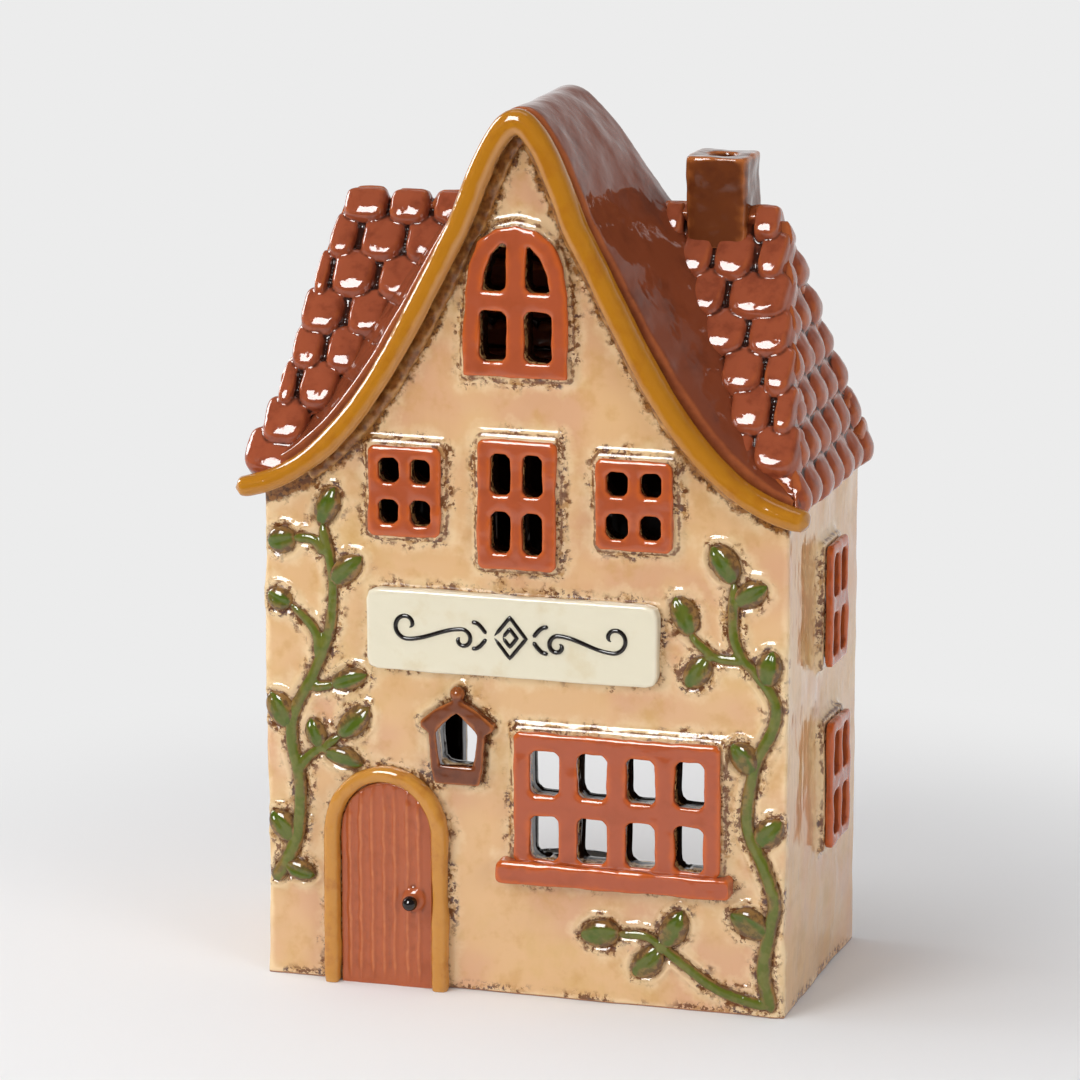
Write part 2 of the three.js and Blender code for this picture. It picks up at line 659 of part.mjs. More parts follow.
function bargeboard() {
  const edge = gableOutline(BOARD_HEIGHT / 2, 0, 0).slice(0, -2);
  const middle = GABLE_FRONT_Y + BOARD_DEPTH / 2;
  const path = new THREE.CatmullRomCurve3(edge.map((p) => new THREE.Vector3(p.x, middle, p.y)));
  const [halfX, halfZ, cut] = [BOARD_DEPTH / 2, BOARD_HEIGHT / 2, BOARD_CHAMFER];
  const section = new THREE.Shape([
    new THREE.Vector2(halfX, halfZ - cut), new THREE.Vector2(halfX - cut, halfZ),
    new THREE.Vector2(-halfX, halfZ), new THREE.Vector2(-halfX, -halfZ),
    new THREE.Vector2(halfX - cut, -halfZ), new THREE.Vector2(halfX, -halfZ + cut)]);
  const settings = { extrudePath: path, steps: BOARD_STEPS, bevelEnabled: false };
  return solid(new THREE.ExtrudeGeometry(section, settings));
}

// Sign and sill

function signShape(margin) {
  const [halfX, halfZ] = [SIGN_WIDTH / 2 + margin, SIGN_HEIGHT / 2 + margin];
  return roundedRectangle(SIGN_X - halfX, SIGN_X + halfX, SIGN_Z - halfZ, SIGN_Z + halfZ, SIGN_ROUND);
}

function sillShape(margin) {
  const shop = FRONT_WINDOWS.find((spec) => spec.name === 'shop_window');
  const half = SILL_WIDTH / 2 + margin;
  const x = shop.x + SILL_SHIFT;
  return roundedRectangle(x - half, x + half, shop.z - SILL_HEIGHT - margin, shop.z, PANE_ROUND);
}

// Ivy

// The room of all that stands out of the front wall, which the ivy grows round.
function reliefRoom() {
  const door = archedShape(DOOR_X, 0, DOOR_HALF + ARCH_WIDTH + SEAM, DOOR_SPRING,
    DOOR_CROWN + ARCH_WIDTH + SEAM);
  const windows = FRONT_WINDOWS.map((spec) => windowOutline(spec, PAD_MARGIN + SEAM));
  const shapes = [signShape(SEAM), sillShape(SEAM), door, ...windows];
  return joined(shapes.map((shape) => plate(shape, FRONT_Y - PAST, FRONT_Y)));
}

function stemTube(route, side, radius) {
  const points = route.map(
    ([inward, z]) => new THREE.Vector3(side * (WALL_X - inward), FRONT_Y - STEM_LIFT, z));
  const path = new THREE.CatmullRomCurve3(points);
  const section = new THREE.Shape();
  section.absarc(0, 0, radius, 0, 2 * Math.PI);
  const steps = Math.ceil(path.getLength() / STEM_STEP);
  const settings = { extrudePath: path, steps, bevelEnabled: false, curveSegments: STEM_SIDES / 2 };
  return solid(new THREE.ExtrudeGeometry(section, settings));
}

function stemSolid(stems, branches, side, grow) {
  const wall = box(-WALL_X - PAST, WALL_X + PAST, FRONT_Y, BACK_Y, -PAST, 2 * EAVES_Z);
  return joined([
    ...stems.map((route) => stemTube(route, side, STEM_RADIUS + grow)),
    ...branches.map((route) => stemTube(route, side, BRANCH_RADIUS + grow)),
  ]).subtract(wall);
}

// A pointed oval from its base to its tip, domed by its bevel and flat against the wall.
function leafSolid([inward, z, tipInward, tipZ, width], side) {
  const base = new THREE.Vector2(side * (WALL_X - inward), z);
  const tip = new THREE.Vector2(side * (WALL_X - tipInward), tipZ);
  const length = base.distanceTo(tip);
  const [[x0, y0], [x1, y1]] = LEAF_CURVE.map(([along, across]) => [along * length, across * width / 2]);
  const shape = new THREE.Shape();
  shape.moveTo(0, 0);
  shape.bezierCurveTo(x0, y0, x1, y1, length, 0);
  shape.bezierCurveTo(x1, -y1, x0, -y0, 0, 0);
  const geometry = new THREE.ExtrudeGeometry(shape, {
    depth: LEAF_DEPTH, curveSegments: 3, bevelEnabled: true, bevelThickness: LEAF_BEVEL,
    bevelSize: LEAF_BEVEL, bevelOffset: -LEAF_BEVEL, bevelSegments: 1 });
  geometry.rotateZ(Math.atan2(tip.y - base.y, tip.x - base.x));
  geometry.rotateX(Math.PI / 2);
  geometry.translate(base.x, FRONT_Y + LEAF_BEVEL, base.y);
  const wall = box(-WALL_X - PAST, WALL_X + PAST, FRONT_Y, BACK_Y, -PAST, 2 * EAVES_Z);
  return solid(geometry).subtract(wall);
}

function addIvy(group, name, stems, branches, leaves, side) {
  const reliefs = reliefRoom();
  const stem = stemSolid(stems, branches, side, 0).subtract(reliefs);
  group.add(piece(`${name}_ivy_stem`, stem, STEM_GREEN));
  const room = stemSolid(stems, branches, side, SEAM).add(reliefs);
  leaves.forEach((leaf, i) => {
    group.add(piece(`${name}_ivy_leaf_${i + 1}`, leafSolid(leaf, side).subtract(room), LEAF_GREEN));
  });
}

// Tealight, turned about its own axis

function turned(profile) {
  const geometry = new THREE.LatheGeometry(profile.map(([r, z]) => new THREE.Vector2(r, z)), ROUND_SIDES);
  geometry.rotateX(Math.PI / 2);
  return solid(geometry);
}

function tealight() {
  const waxRadius = CUP_RADIUS - CUP_WALL - CUP_FIT;
  const waxTop = CUP_WALL + WAX_HEIGHT;
  const clipTop = CUP_WALL + CLIP_HEIGHT;
  const boreRadius = WICK_RADIUS + CUP_FIT;
  const cup = turned([[0, 0], [CUP_RADIUS - CUP_WALL, 0], [CUP_RADIUS, CUP_WALL], [CUP_RADIUS, CUP_HEIGHT],
    [CUP_RADIUS - CUP_WALL, CUP_HEIGHT], [CUP_RADIUS - CUP_WALL, CUP_WALL], [0, CUP_WALL]]);
  const wax = turned([[CLIP_RADIUS + CUP_FIT, CUP_WALL], [waxRadius, CUP_WALL], [waxRadius, waxTop],
    [boreRadius, waxTop], [boreRadius, clipTop + CUP_FIT], [CLIP_NECK + CUP_FIT, clipTop + CUP_FIT],
    [CLIP_NECK + CUP_FIT, CUP_WALL + CLIP_PLATE + CUP_FIT],
    [CLIP_RADIUS + CUP_FIT, CUP_WALL + CLIP_PLATE + CUP_FIT], [CLIP_RADIUS + CUP_FIT, CUP_WALL]]);
  const clip = turned([[CLIP_BORE, CUP_WALL], [CLIP_RADIUS, CUP_WALL], [CLIP_RADIUS, CUP_WALL + CLIP_PLATE],
    [CLIP_NECK, CUP_WALL + CLIP_PLATE], [CLIP_NECK, clipTop], [CLIP_BORE, clipTop], [CLIP_BORE, CUP_WALL]]);
  const wickFoot = CUP_WALL + CUP_FIT;
  const wick = turned([[0, wickFoot], [WICK_RADIUS, wickFoot], [WICK_RADIUS, wickFoot + WICK_LENGTH],
    [0, wickFoot + WICK_LENGTH]]);
  const group = new THREE.Group();
  group.add(piece('tealight_cup', cup, ALUMINIUM, 0.3, 1));
  group.add(piece('tealight_wax', wax, WAX_WHITE, 0.5));
  group.add(piece('tealight_wick_clip', clip, ALUMINIUM, 0.4, 1));
  group.add(piece('tealight_wick', wick, COTTON, 0.9));
  group.position.set(0, TEALIGHT_Y, FLOOR);
  return group;
}

// Assembly

function addFront(house) {
  const gable = new THREE.Shape(gableOutline(SHELL, SEAM, -PAST, FRONT_Y));
  const hips = hipRoom(EAVES_Z).translate([0, -FRONT_Y, 0]);
  const blank = plate(gable, 0, WALL).intersect(box(-WALL_X, WALL_X, 0, WALL, 0, PEAK_Z)).subtract(hips);
  const wall = withWindows(blank, FRONT_WINDOWS, PAD).subtract(lanternPane());
  const group = new THREE.Group();
  group.position.y = FRONT_Y;
  group.add(piece('front_wall', wall, PEACH));
  for (const spec of FRONT_WINDOWS) {
    group.add(piece(spec.name, windowFrame(spec, PAD), TERRACOTTA));
  }
  const pads = joined(FRONT_WINDOWS.map((spec) => windowPad(spec, PAD)));
  const sill = plate(sillShape(0), -PAD - SILL_DEPTH, 0).subtract(pads);
  group.add(piece('shop_window_sill', sill, TERRACOTTA));
  group.add(piece('sign_plaque', plate(signShape(0), -SIGN_DEPTH, 0), SIGN_CREAM));
  group.add(piece('lantern_frame', lanternFrame(), LANTERN_BROWN));
  house.add(group);
}

function addSide(house, name, side) {
  const specs = SIDE_WINDOWS.map((spec) => ({ ...spec, x: side * spec.x }));
  const blank = box(FRONT_Y + WALL, BACK_Y - WALL, 0, WALL, 0, EAVES_Z);
  const group = new THREE.Group();
  group.rotation.z = side * Math.PI / 2;
  group.position.x = side * WALL_X;
  group.add(piece(`${name}_wall`, withWindows(blank, specs, SIDE_PAD), PEACH));
  for (const spec of specs) {
    group.add(piece(`${name}_${spec.name}`, windowFrame(spec, SIDE_PAD), TERRACOTTA));
  }
  house.add(group);
}

function addShell(house) {
  const floor = box(-WALL_X + WALL, WALL_X - WALL, FRONT_Y + WALL, BACK_Y - WALL, 0, FLOOR);
  house.add(piece('floor_slab', floor, PEACH));
  const opening = roundedRectangle(
    -OPENING_WIDTH / 2, OPENING_WIDTH / 2, THRESHOLD - OPENING_ROUND, OPENING_TOP, OPENING_ROUND);
  const above = box(-WALL_X, WALL_X, 0, BACK_Y + PAST, THRESHOLD, EAVES_Z);
  const cut = plate(opening, 0, BACK_Y + PAST, { curveSegments: 4 }).intersect(above);
  const back = box(-WALL_X, WALL_X, BACK_Y - WALL, BACK_Y, 0, EAVES_Z).subtract(cut);
  house.add(piece('back_wall', back, PEACH));
}

function addRoof(house) {
  const gableRoom = underGable(0, -SEAM);
  const hole = flue();
  const [chimneyLeft, chimneyRight] = [-1, 1].map((turn) => CHIMNEY_X + turn * (CHIMNEY_WIDTH / 2 + SEAM));
  const frontReach = CHIMNEY_DEPTH / 2 - CHIMNEY_Y + SEAM;
  const backReach = CHIMNEY_DEPTH / 2 + CHIMNEY_Y + SEAM;
  const frontRoom = tileRoom('front', chimneyLeft, chimneyRight, frontReach);
  const backRoom = tileRoom('back', chimneyLeft, chimneyRight, backReach);
  const across = EAVES_X + PAST;
  const front = tiledSlope('front').subtract(gableRoom).subtract(frontRoom).subtract(hole);
  const leftHalf = box(-across, 0, -across, across, 0, PEAK_Z + PAST);
  const rightHalf = box(0, across, -across, across, 0, PEAK_Z + PAST);
  house.add(piece('front_roof_left', front.intersect(leftHalf), TILE_RED));
  house.add(piece('front_roof_right', front.intersect(rightHalf), TILE_RED));

  const rearRoom = tileRoom('back', -EAVES_X, EAVES_X, REAR_PLATE + SEAM);
  const tiled = tiledSlope('back').subtract(backRoom).subtract(hole);
  const back = tiled.subtract(rearRoom.intersect(rearGable(-SEAM, EAVES_Y)));
  house.add(piece('back_roof', back, TILE_RED));
  house.add(piece('rear_gable_plate', rearGable(0, REAR_PLATE).subtract(roofBulk(0)), ROOF_BROWN));

  const boardRoom = gableRoom.intersect(box(-across, across, -across, ROOF_FRONT_Y + SEAM, 0, PEAK_Z + PAST));
  for (const [name, side] of [['left', -1], ['right', 1]]) {
    const end = tiledSlope(name).translate([side * MITRE_SHIFT, 0, 0]).subtract(boardRoom);
    house.add(piece(`${name}_hip_roof`, end, TILE_RED));
  }

  const shellRoom = box(-TIP_X, TIP_X, ROOF_FRONT_Y, 0, 0, PEAK_Z + PAST);
  const cover = underGable(0, 0).subtract(underGable(SHELL, 0)).intersect(shellRoom);
  const shell = cover.subtract(roofBulk(ROOF_WALL)).subtract(hipRoom(EAVES_Z - WALL));
  house.add(piece('gable_roof', shell, ROOF_BROWN));
  house.add(piece('bargeboard', bargeboard(), OCHRE));
  const stack = chimneyBlock().subtract(hole).subtract(roofBulk(0));
  const standing = stack.subtract(gableRoom).subtract(rearGable(-SEAM, REAR_PLATE + SEAM));
  house.add(piece('chimney', standing, ROOF_BROWN));
}

function buildHouse() {
  const house = new THREE.Group();
  house.name = 'shop_tealight_holder';
  addShell(house);
  addFront(house);
  addSide(house, 'right', 1);
  addSide(house, 'left', -1);
  addRoof(house);
  house.add(piece('door_panel', doorPanel(), DOOR_RED));
  house.add(piece('door_arch', doorArch(), ARCH_TAN));
  house.add(piece('door_knob', doorKnob(), KNOB_BLACK, 0.1));
  addIvy(house, 'left', LEFT_STEMS, LEFT_BRANCHES, LEFT_LEAVES, -1);
  addIvy(house, 'right', RIGHT_STEMS, RIGHT_BRANCHES, RIGHT_LEAVES, 1);
  house.add(tealight());
  return house;
}

export default buildHouse();
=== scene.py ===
"""Dresses a tealight holder in glazed stoneware: a tall town house with a swept gable and a tiled hip roof.

Sizes are in millimetres in the classes below and become metres when they reach a mesh. X runs to the right,
Y to the back and Z up, with the origin under the middle of the walls.
"""

import logging
import math
import random
from dataclasses import dataclass, field
from enum import Enum
from itertools import pairwise
from typing import Any, Iterable, Sequence

import bpy
import numpy as np
from mathutils import Matrix, Vector
from mathutils.kdtree import KDTree


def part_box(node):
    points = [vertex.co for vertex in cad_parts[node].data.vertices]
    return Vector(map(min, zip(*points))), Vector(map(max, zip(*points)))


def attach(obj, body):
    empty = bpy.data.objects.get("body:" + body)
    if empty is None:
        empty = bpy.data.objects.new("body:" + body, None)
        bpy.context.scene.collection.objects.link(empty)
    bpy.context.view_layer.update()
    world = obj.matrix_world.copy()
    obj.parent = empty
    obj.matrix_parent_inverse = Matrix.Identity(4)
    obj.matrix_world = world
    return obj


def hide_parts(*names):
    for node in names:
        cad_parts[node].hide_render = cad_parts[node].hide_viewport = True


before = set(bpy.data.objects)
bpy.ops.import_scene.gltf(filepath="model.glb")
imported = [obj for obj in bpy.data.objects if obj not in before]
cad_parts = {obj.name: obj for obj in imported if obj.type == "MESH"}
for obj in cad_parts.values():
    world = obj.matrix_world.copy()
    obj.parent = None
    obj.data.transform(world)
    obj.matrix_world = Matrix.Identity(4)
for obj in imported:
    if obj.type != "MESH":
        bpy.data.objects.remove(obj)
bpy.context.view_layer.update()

MM = 0.001
WALL_X, WALL_Y, EAVES_Z = 63.0, -34.0, 120.0
BEHIND_FRONT_WALL = -24
SAME_POINT = 1e-6
MOST_FACES = 195000
log = logging.getLogger("tealight_holder")

Colour = tuple[int, int, int]
Piece = bpy.types.Object
Pair = tuple[float, float]


# Bench: hand tools

def put_down() -> None:
    """Leave object mode active and nothing selected."""
    if bpy.context.mode != "OBJECT":
        bpy.ops.object.mode_set(mode="OBJECT")
    bpy.ops.object.select_all(action="DESELECT")


def take_up(piece: Piece) -> None:
    """Select one piece alone and make it active."""
    put_down()
    piece.select_set(True)
    bpy.context.view_layer.objects.active = piece


def open_up(piece: Piece) -> None:
    """Take a piece into edit mode with all of it selected."""
    take_up(piece)
    bpy.ops.object.mode_set(mode="EDIT")
    bpy.ops.mesh.select_all(action="SELECT")


def close_up(piece: Piece) -> None:
    """Merge a piece's double points, close its holes and turn its faces outward."""
    open_up(piece)
    bpy.ops.mesh.remove_doubles(threshold=SAME_POINT)
    bpy.ops.mesh.fill_holes(sides=0)
    bpy.ops.mesh.normals_make_consistent(inside=False)
    bpy.ops.object.mode_set(mode="OBJECT")


def cut_off(piece: Piece, point: np.ndarray, facing: np.ndarray) -> None:
    """Cut off what lies beyond a plane, given by a point in millimetres and the way it faces."""
    open_up(piece)
    bpy.ops.mesh.bisect(plane_co=point * MM, plane_no=facing, use_fill=True, clear_outer=True)
    close_up(piece)


def points_of(piece: Piece) -> np.ndarray:
    """Read a piece's points in millimetres, one row each."""
    flat = np.empty(len(piece.data.vertices) * 3)
    piece.data.vertices.foreach_get("co", flat)
    return flat.reshape(-1, 3) / MM


def set_points(piece: Piece, points: np.ndarray) -> None:
    """Write a piece's points, given in millimetres."""
    piece.data.vertices.foreach_set("co", (np.asarray(points) * MM).ravel())
    piece.data.update()


def normals_of(piece: Piece) -> np.ndarray:
    """Read a piece's point normals, one row each."""
    flat = np.empty(len(piece.data.vertices) * 3)
    piece.data.vertex_normals.foreach_get("vector", flat)
    return flat.reshape(-1, 3)


def linked(name: str, data: bpy.types.ID) -> Piece:
    """Put a mesh, a lamp's or a camera's data into the scene as a new object."""
    piece = bpy.data.objects.new(name, data)
    bpy.context.scene.collection.objects.link(piece)
    return piece


def name_active(name: str) -> Piece:
    """Name the piece just added, and return it."""
    piece = bpy.context.view_layer.objects.active
    piece.name = name
    piece.data.name = name
    return piece


def copy_of(node: str, name: str) -> Piece:
    """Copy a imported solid's mesh as a new piece, with its double points merged."""
    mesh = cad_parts[node].data.copy()
    mesh.materials.clear()
    piece = linked(name, mesh)
    mesh.name = name
    close_up(piece)
    return piece


def fused(name: str, pieces: Sequence[Piece]) -> Piece:
    """Join pieces into the first of them, under a new name."""
    put_down()
    for piece in pieces:
        piece.select_set(True)
    bpy.context.view_layer.objects.active = pieces[0]
    bpy.ops.object.join()
    return name_active(name)


def loft(name: str, rings: np.ndarray) -> Piece:
    """Skin a row of closed rings: a grid is added, laid over them, and sewn up.

    Args:
        name: the piece's name.
        rings: the rings' points in millimetres, as rings by points by three.

    Returns:
        The closed piece.
    """
    put_down()
    count, around = rings.shape[:2]
    bpy.ops.mesh.primitive_grid_add(x_subdivisions=around, y_subdivisions=count - 1, size=1)
    piece = name_active(name)
    flat = points_of(piece)
    order = np.lexsort((np.round(flat[:, 0], 4), np.round(flat[:, 1], 4)))
    laid = np.empty_like(flat)
    laid[order] = np.concatenate([rings, rings[:, :1]], axis=1).reshape(-1, 3)
    set_points(piece, laid)
    close_up(piece)
    return piece


def plate(name: str, outline: np.ndarray, front: float, back: float) -> Piece:
    """Fill an outline in X and Z, and give it its thickness along Y from the front to the back."""
    put_down()
    bpy.ops.mesh.primitive_circle_add(vertices=len(outline), radius=1, fill_type="NOTHING")
    piece = name_active(name)
    set_points(piece, np.column_stack([outline[:, 0], np.full(len(outline), front), outline[:, 1]]))
    open_up(piece)
    bpy.ops.mesh.edge_face_add()
    bpy.ops.mesh.extrude_region_move(TRANSFORM_OT_translate={"value": (0, (back - front) * MM, 0)})
    close_up(piece)
    return piece


def tube(name: str, line: np.ndarray, radii: np.ndarray, around: int = 14) -> Piece:
    """Run a round rod along a line.

    Args:
        name: the piece's name.
        line: the line's points in millimetres.
        radii: the rod's radius at each point, nearly nothing at both ends.
        around: the number of points round it.

    Returns:
        The closed piece.
    """
    ahead = np.gradient(line, axis=0)
    ahead /= np.linalg.norm(ahead, axis=1)[:, None]
    side = np.cross(ahead, (0, 1, 0))
    side /= np.linalg.norm(side, axis=1)[:, None]
    out = np.cross(side, ahead)
    turn = np.arange(around) * 2 * math.pi / around
    spokes = np.cos(turn)[None, :, None] * side[:, None] + np.sin(turn)[None, :, None] * out[:, None]
    return loft(name, line[:, None] + radii[:, None, None] * spokes)


def turned(name: str, profile: Sequence[Pair], centre: Sequence[float], forward: bool = False,
           sides: int = 48, flutes: float = 0.0) -> Piece:
    """Turn a profile about an axis.

    Args:
        name: the piece's name.
        profile: pairs of radius and distance along the axis, from one end to the other.
        centre: where the axis starts.
        forward: the axis runs out of the front of the house instead of up.
        sides: the number of points round it.
        flutes: the depth of fine pleats in the widest rings.

    Returns:
        The closed piece.
    """
    widest = max(r for r, _ in profile)
    turn = np.arange(sides) * 2 * math.pi / sides
    rings = []
    for r, along in profile:
        pleat = flutes * np.cos(turn * sides / 4) if r > 0.97 * widest else 0
        x, y = (r + pleat) * np.cos(turn), (r + pleat) * np.sin(turn)
        level = np.full(sides, along)
        rings.append(np.column_stack([x, -level, y] if forward else [x, y, level]) + np.asarray(centre))
    return loft(name, np.array(rings))


# Bench: soft clay

@dataclass(frozen=True)
class Clay:
    """How soft clay is worked: the grain of its skin in millimetres, the rounds of smoothing, and the dents
    that a hand leaves, as pairs of lump size and height in millimetres."""
    grain: float
    rounds: int
    dents: tuple[Pair, ...] = ()


def work(piece: Piece, kind: str, **settings: Any) -> None:
    """Give a piece one modifier with its settings, and apply it."""
    take_up(piece)
    bpy.ops.object.modifier_add(type=kind)
    modifier = piece.modifiers[-1]
    for name, value in settings.items():
        setattr(modifier, name, value)
    bpy.ops.object.modifier_apply(modifier=modifier.name)


def smooth(piece: Piece, rounds: int, **axes: bool) -> None:
    """Smooth a piece, along some of its axes alone where they are named."""
    work(piece, "SMOOTH", factor=0.5, iterations=rounds, **axes)


def dent(piece: Piece, dents: Iterable[Pair]) -> None:
    """Push a piece in and out by lumps of a size and a height in millimetres."""
    for size, height in dents:
        texture = bpy.data.textures.new(f"{piece.name}_{size}", "CLOUDS")
        texture.noise_scale = size * MM
        texture.noise_depth = 1
        work(piece, "DISPLACE", texture=texture, texture_coords="LOCAL", direction="NORMAL",
             strength=height * MM, mid_level=0.5)


def soften(piece: Piece, clay: Clay) -> None:
    """Turn a piece into soft clay: an even skin, smoothed, with a hand's dents in it."""
    work(piece, "REMESH", mode="VOXEL", voxel_size=clay.grain * MM, adaptivity=0)
    smooth(piece, clay.rounds)
    dent(piece, clay.dents)


def thin_out(piece: Piece, faces: int) -> None:
    """Take a piece down to a number of triangles, where it has more."""
    piece.data.calc_loop_triangles()
    count = len(piece.data.loop_triangles)
    if count > faces:
        work(piece, "DECIMATE", decimate_type="COLLAPSE", ratio=faces / count, use_collapse_triangulate=True)


def averaged(piece: Piece, values: np.ndarray, rounds: int) -> np.ndarray:
    """Average values over the mesh between neighbouring points.

    Args:
        piece: the piece that carries the values.
        values: one value or row for each point.
        rounds: how many times each point takes the mean of its neighbours.

    Returns:
        The averaged values.
    """
    ends = np.empty(len(piece.data.edges) * 2, np.int64)
    piece.data.edges.foreach_get("vertices", ends)
    first, second = ends.reshape(-1, 2).T
    count = len(values)
    degree = np.maximum(np.bincount(first, minlength=count) + np.bincount(second, minlength=count), 1)
    rows = values.reshape(count, -1).copy()
    for _ in range(rounds):
        for column in range(rows.shape[1]):
            value = rows[:, column]
            total = (np.bincount(first, weights=value[second], minlength=count)
                     + np.bincount(second, weights=value[first], minlength=count))
            rows[:, column] = 0.5 * value + 0.5 * total / degree
    return rows.reshape(values.shape)


def mark(piece: Piece, name: str, values: np.ndarray) -> None:
    """Keep one value for each point as an attribute that the glazes read."""
    attribute = piece.data.attributes.new(name, "FLOAT", "POINT")
    attribute.data.foreach_set("value", np.asarray(values, np.float32))


def mark_relief(piece: Piece, rounds: int, height: float) -> None:
    """Mark how far each point stands over what is round it: 1 on a crest, 0 in a pit, 0.5 on the flat.

    Args:
        piece: the piece to mark.
        rounds: how wide the surroundings are.
        height: the relief in millimetres that counts as full.
    """
    points = points_of(piece)
    rise = ((points - averaged(piece, points, rounds)) * normals_of(piece)).sum(1)
    mark(piece, "relief", np.clip(0.5 + averaged(piece, rise, 1) / (2 * height), 0, 1))


# Bench: lines and measures

def eased(share: np.ndarray) -> np.ndarray:
    """Run a share of 0 to 1 in and out gently."""
    return share * share * (3 - 2 * share)


def bean(count: int, power: float) -> np.ndarray:
    """Give a rounded square's points, each side 1 from the middle."""
    turn = np.arange(count) * 2 * math.pi / count
    c, s = np.cos(turn), np.sin(turn)
    return np.column_stack([np.sign(c) * np.abs(c) ** (2 / power), np.sign(s) * np.abs(s) ** (2 / power)])


def catmull(points: Sequence[Sequence[float]], steps: int) -> np.ndarray:
    """Draw a smooth line through points, with a number of steps between each two."""
    knots = np.asarray(points, float)
    knots = np.vstack([2 * knots[0] - knots[1], knots, 2 * knots[-1] - knots[-2]])
    line = []
    for i in range(1, len(knots) - 2):
        p0, p1, p2, p3 = knots[i - 1:i + 3]
        for t in np.arange(steps) / steps:
            line.append(0.5 * (2 * p1 + (p2 - p0) * t + (2 * p0 - 5 * p1 + 4 * p2 - p3) * t ** 2
                               + (3 * p1 - p0 - 3 * p2 + p3) * t ** 3))
    line.append(knots[-2])
    return np.array(line)


def distances(points: np.ndarray, cloud: np.ndarray) -> np.ndarray:
    """Measure how far each point is from the nearest one of a cloud."""
    tree = KDTree(len(cloud))
    for number, point in enumerate(cloud):
        tree.insert(point, number)
    tree.balance()
    return np.array([tree.find(point)[2] for point in points])


def drawn_apart(offset: np.ndarray, places: Sequence[float], moved: Sequence[float]) -> np.ndarray:
    """Say how far points shift, when places at distances from a middle are drawn out to other distances."""
    gap, last = np.abs(offset), places[-1]
    return np.sign(offset) * (np.interp(gap, places, moved) - np.minimum(gap, last)) * (gap < last)


# Glazes

def linear(colour: Colour) -> tuple[float, float, float, float]:
    """Turn a colour of 0 to 255 into the values that a shader takes."""
    return (*((v / 255 / 12.92) if v / 255 <= 0.04045 else ((v / 255 + 0.055) / 1.055) ** 2.4
              for v in colour), 1.0)


class Shade:
    """One value of a shader, which adds and multiplies as a number does."""

    def __init__(self, kiln: "Kiln", socket: bpy.types.NodeSocket) -> None:
        """Keep the socket that the value comes from."""
        self.kiln = kiln
        self.socket = socket

    def maths(self, operation: str, *others: Any) -> "Shade":
        """Run one operation of the Math node, with this value first."""
        return self.kiln.node("ShaderNodeMath", {"operation": operation}, self, *others)

    def __add__(self, other: Any) -> "Shade":
        """Add."""
        return self.maths("ADD", other)

    __radd__ = __add__

    def __sub__(self, other: Any) -> "Shade":
        """Subtract."""
        return self.maths("SUBTRACT", other)

    def __rsub__(self, other: Any) -> "Shade":
        """Subtract from another value."""
        return (self * -1.0) + other

    def __mul__(self, other: Any) -> "Shade":
        """Multiply."""
        return self.maths("MULTIPLY", other)

    __rmul__ = __mul__

    def least(self, other: Any) -> "Shade":
        """Take the smaller of two values."""
        return self.maths("MINIMUM", other)

    def most(self, other: Any) -> "Shade":
        """Take the larger of two values."""
        return self.maths("MAXIMUM", other)

    def ramp(self, low: float, high: float) -> "Shade":
        """Run smoothly from 0 at one value to 1 at another, which may be the smaller one."""
        settings = {"interpolation_type": "SMOOTHSTEP", "clamp": True}
        if low < high:
            return self.kiln.node("ShaderNodeMapRange", settings, self, low, high, 0.0, 1.0)
        return self.kiln.node("ShaderNodeMapRange", settings, self, high, low, 1.0, 0.0)


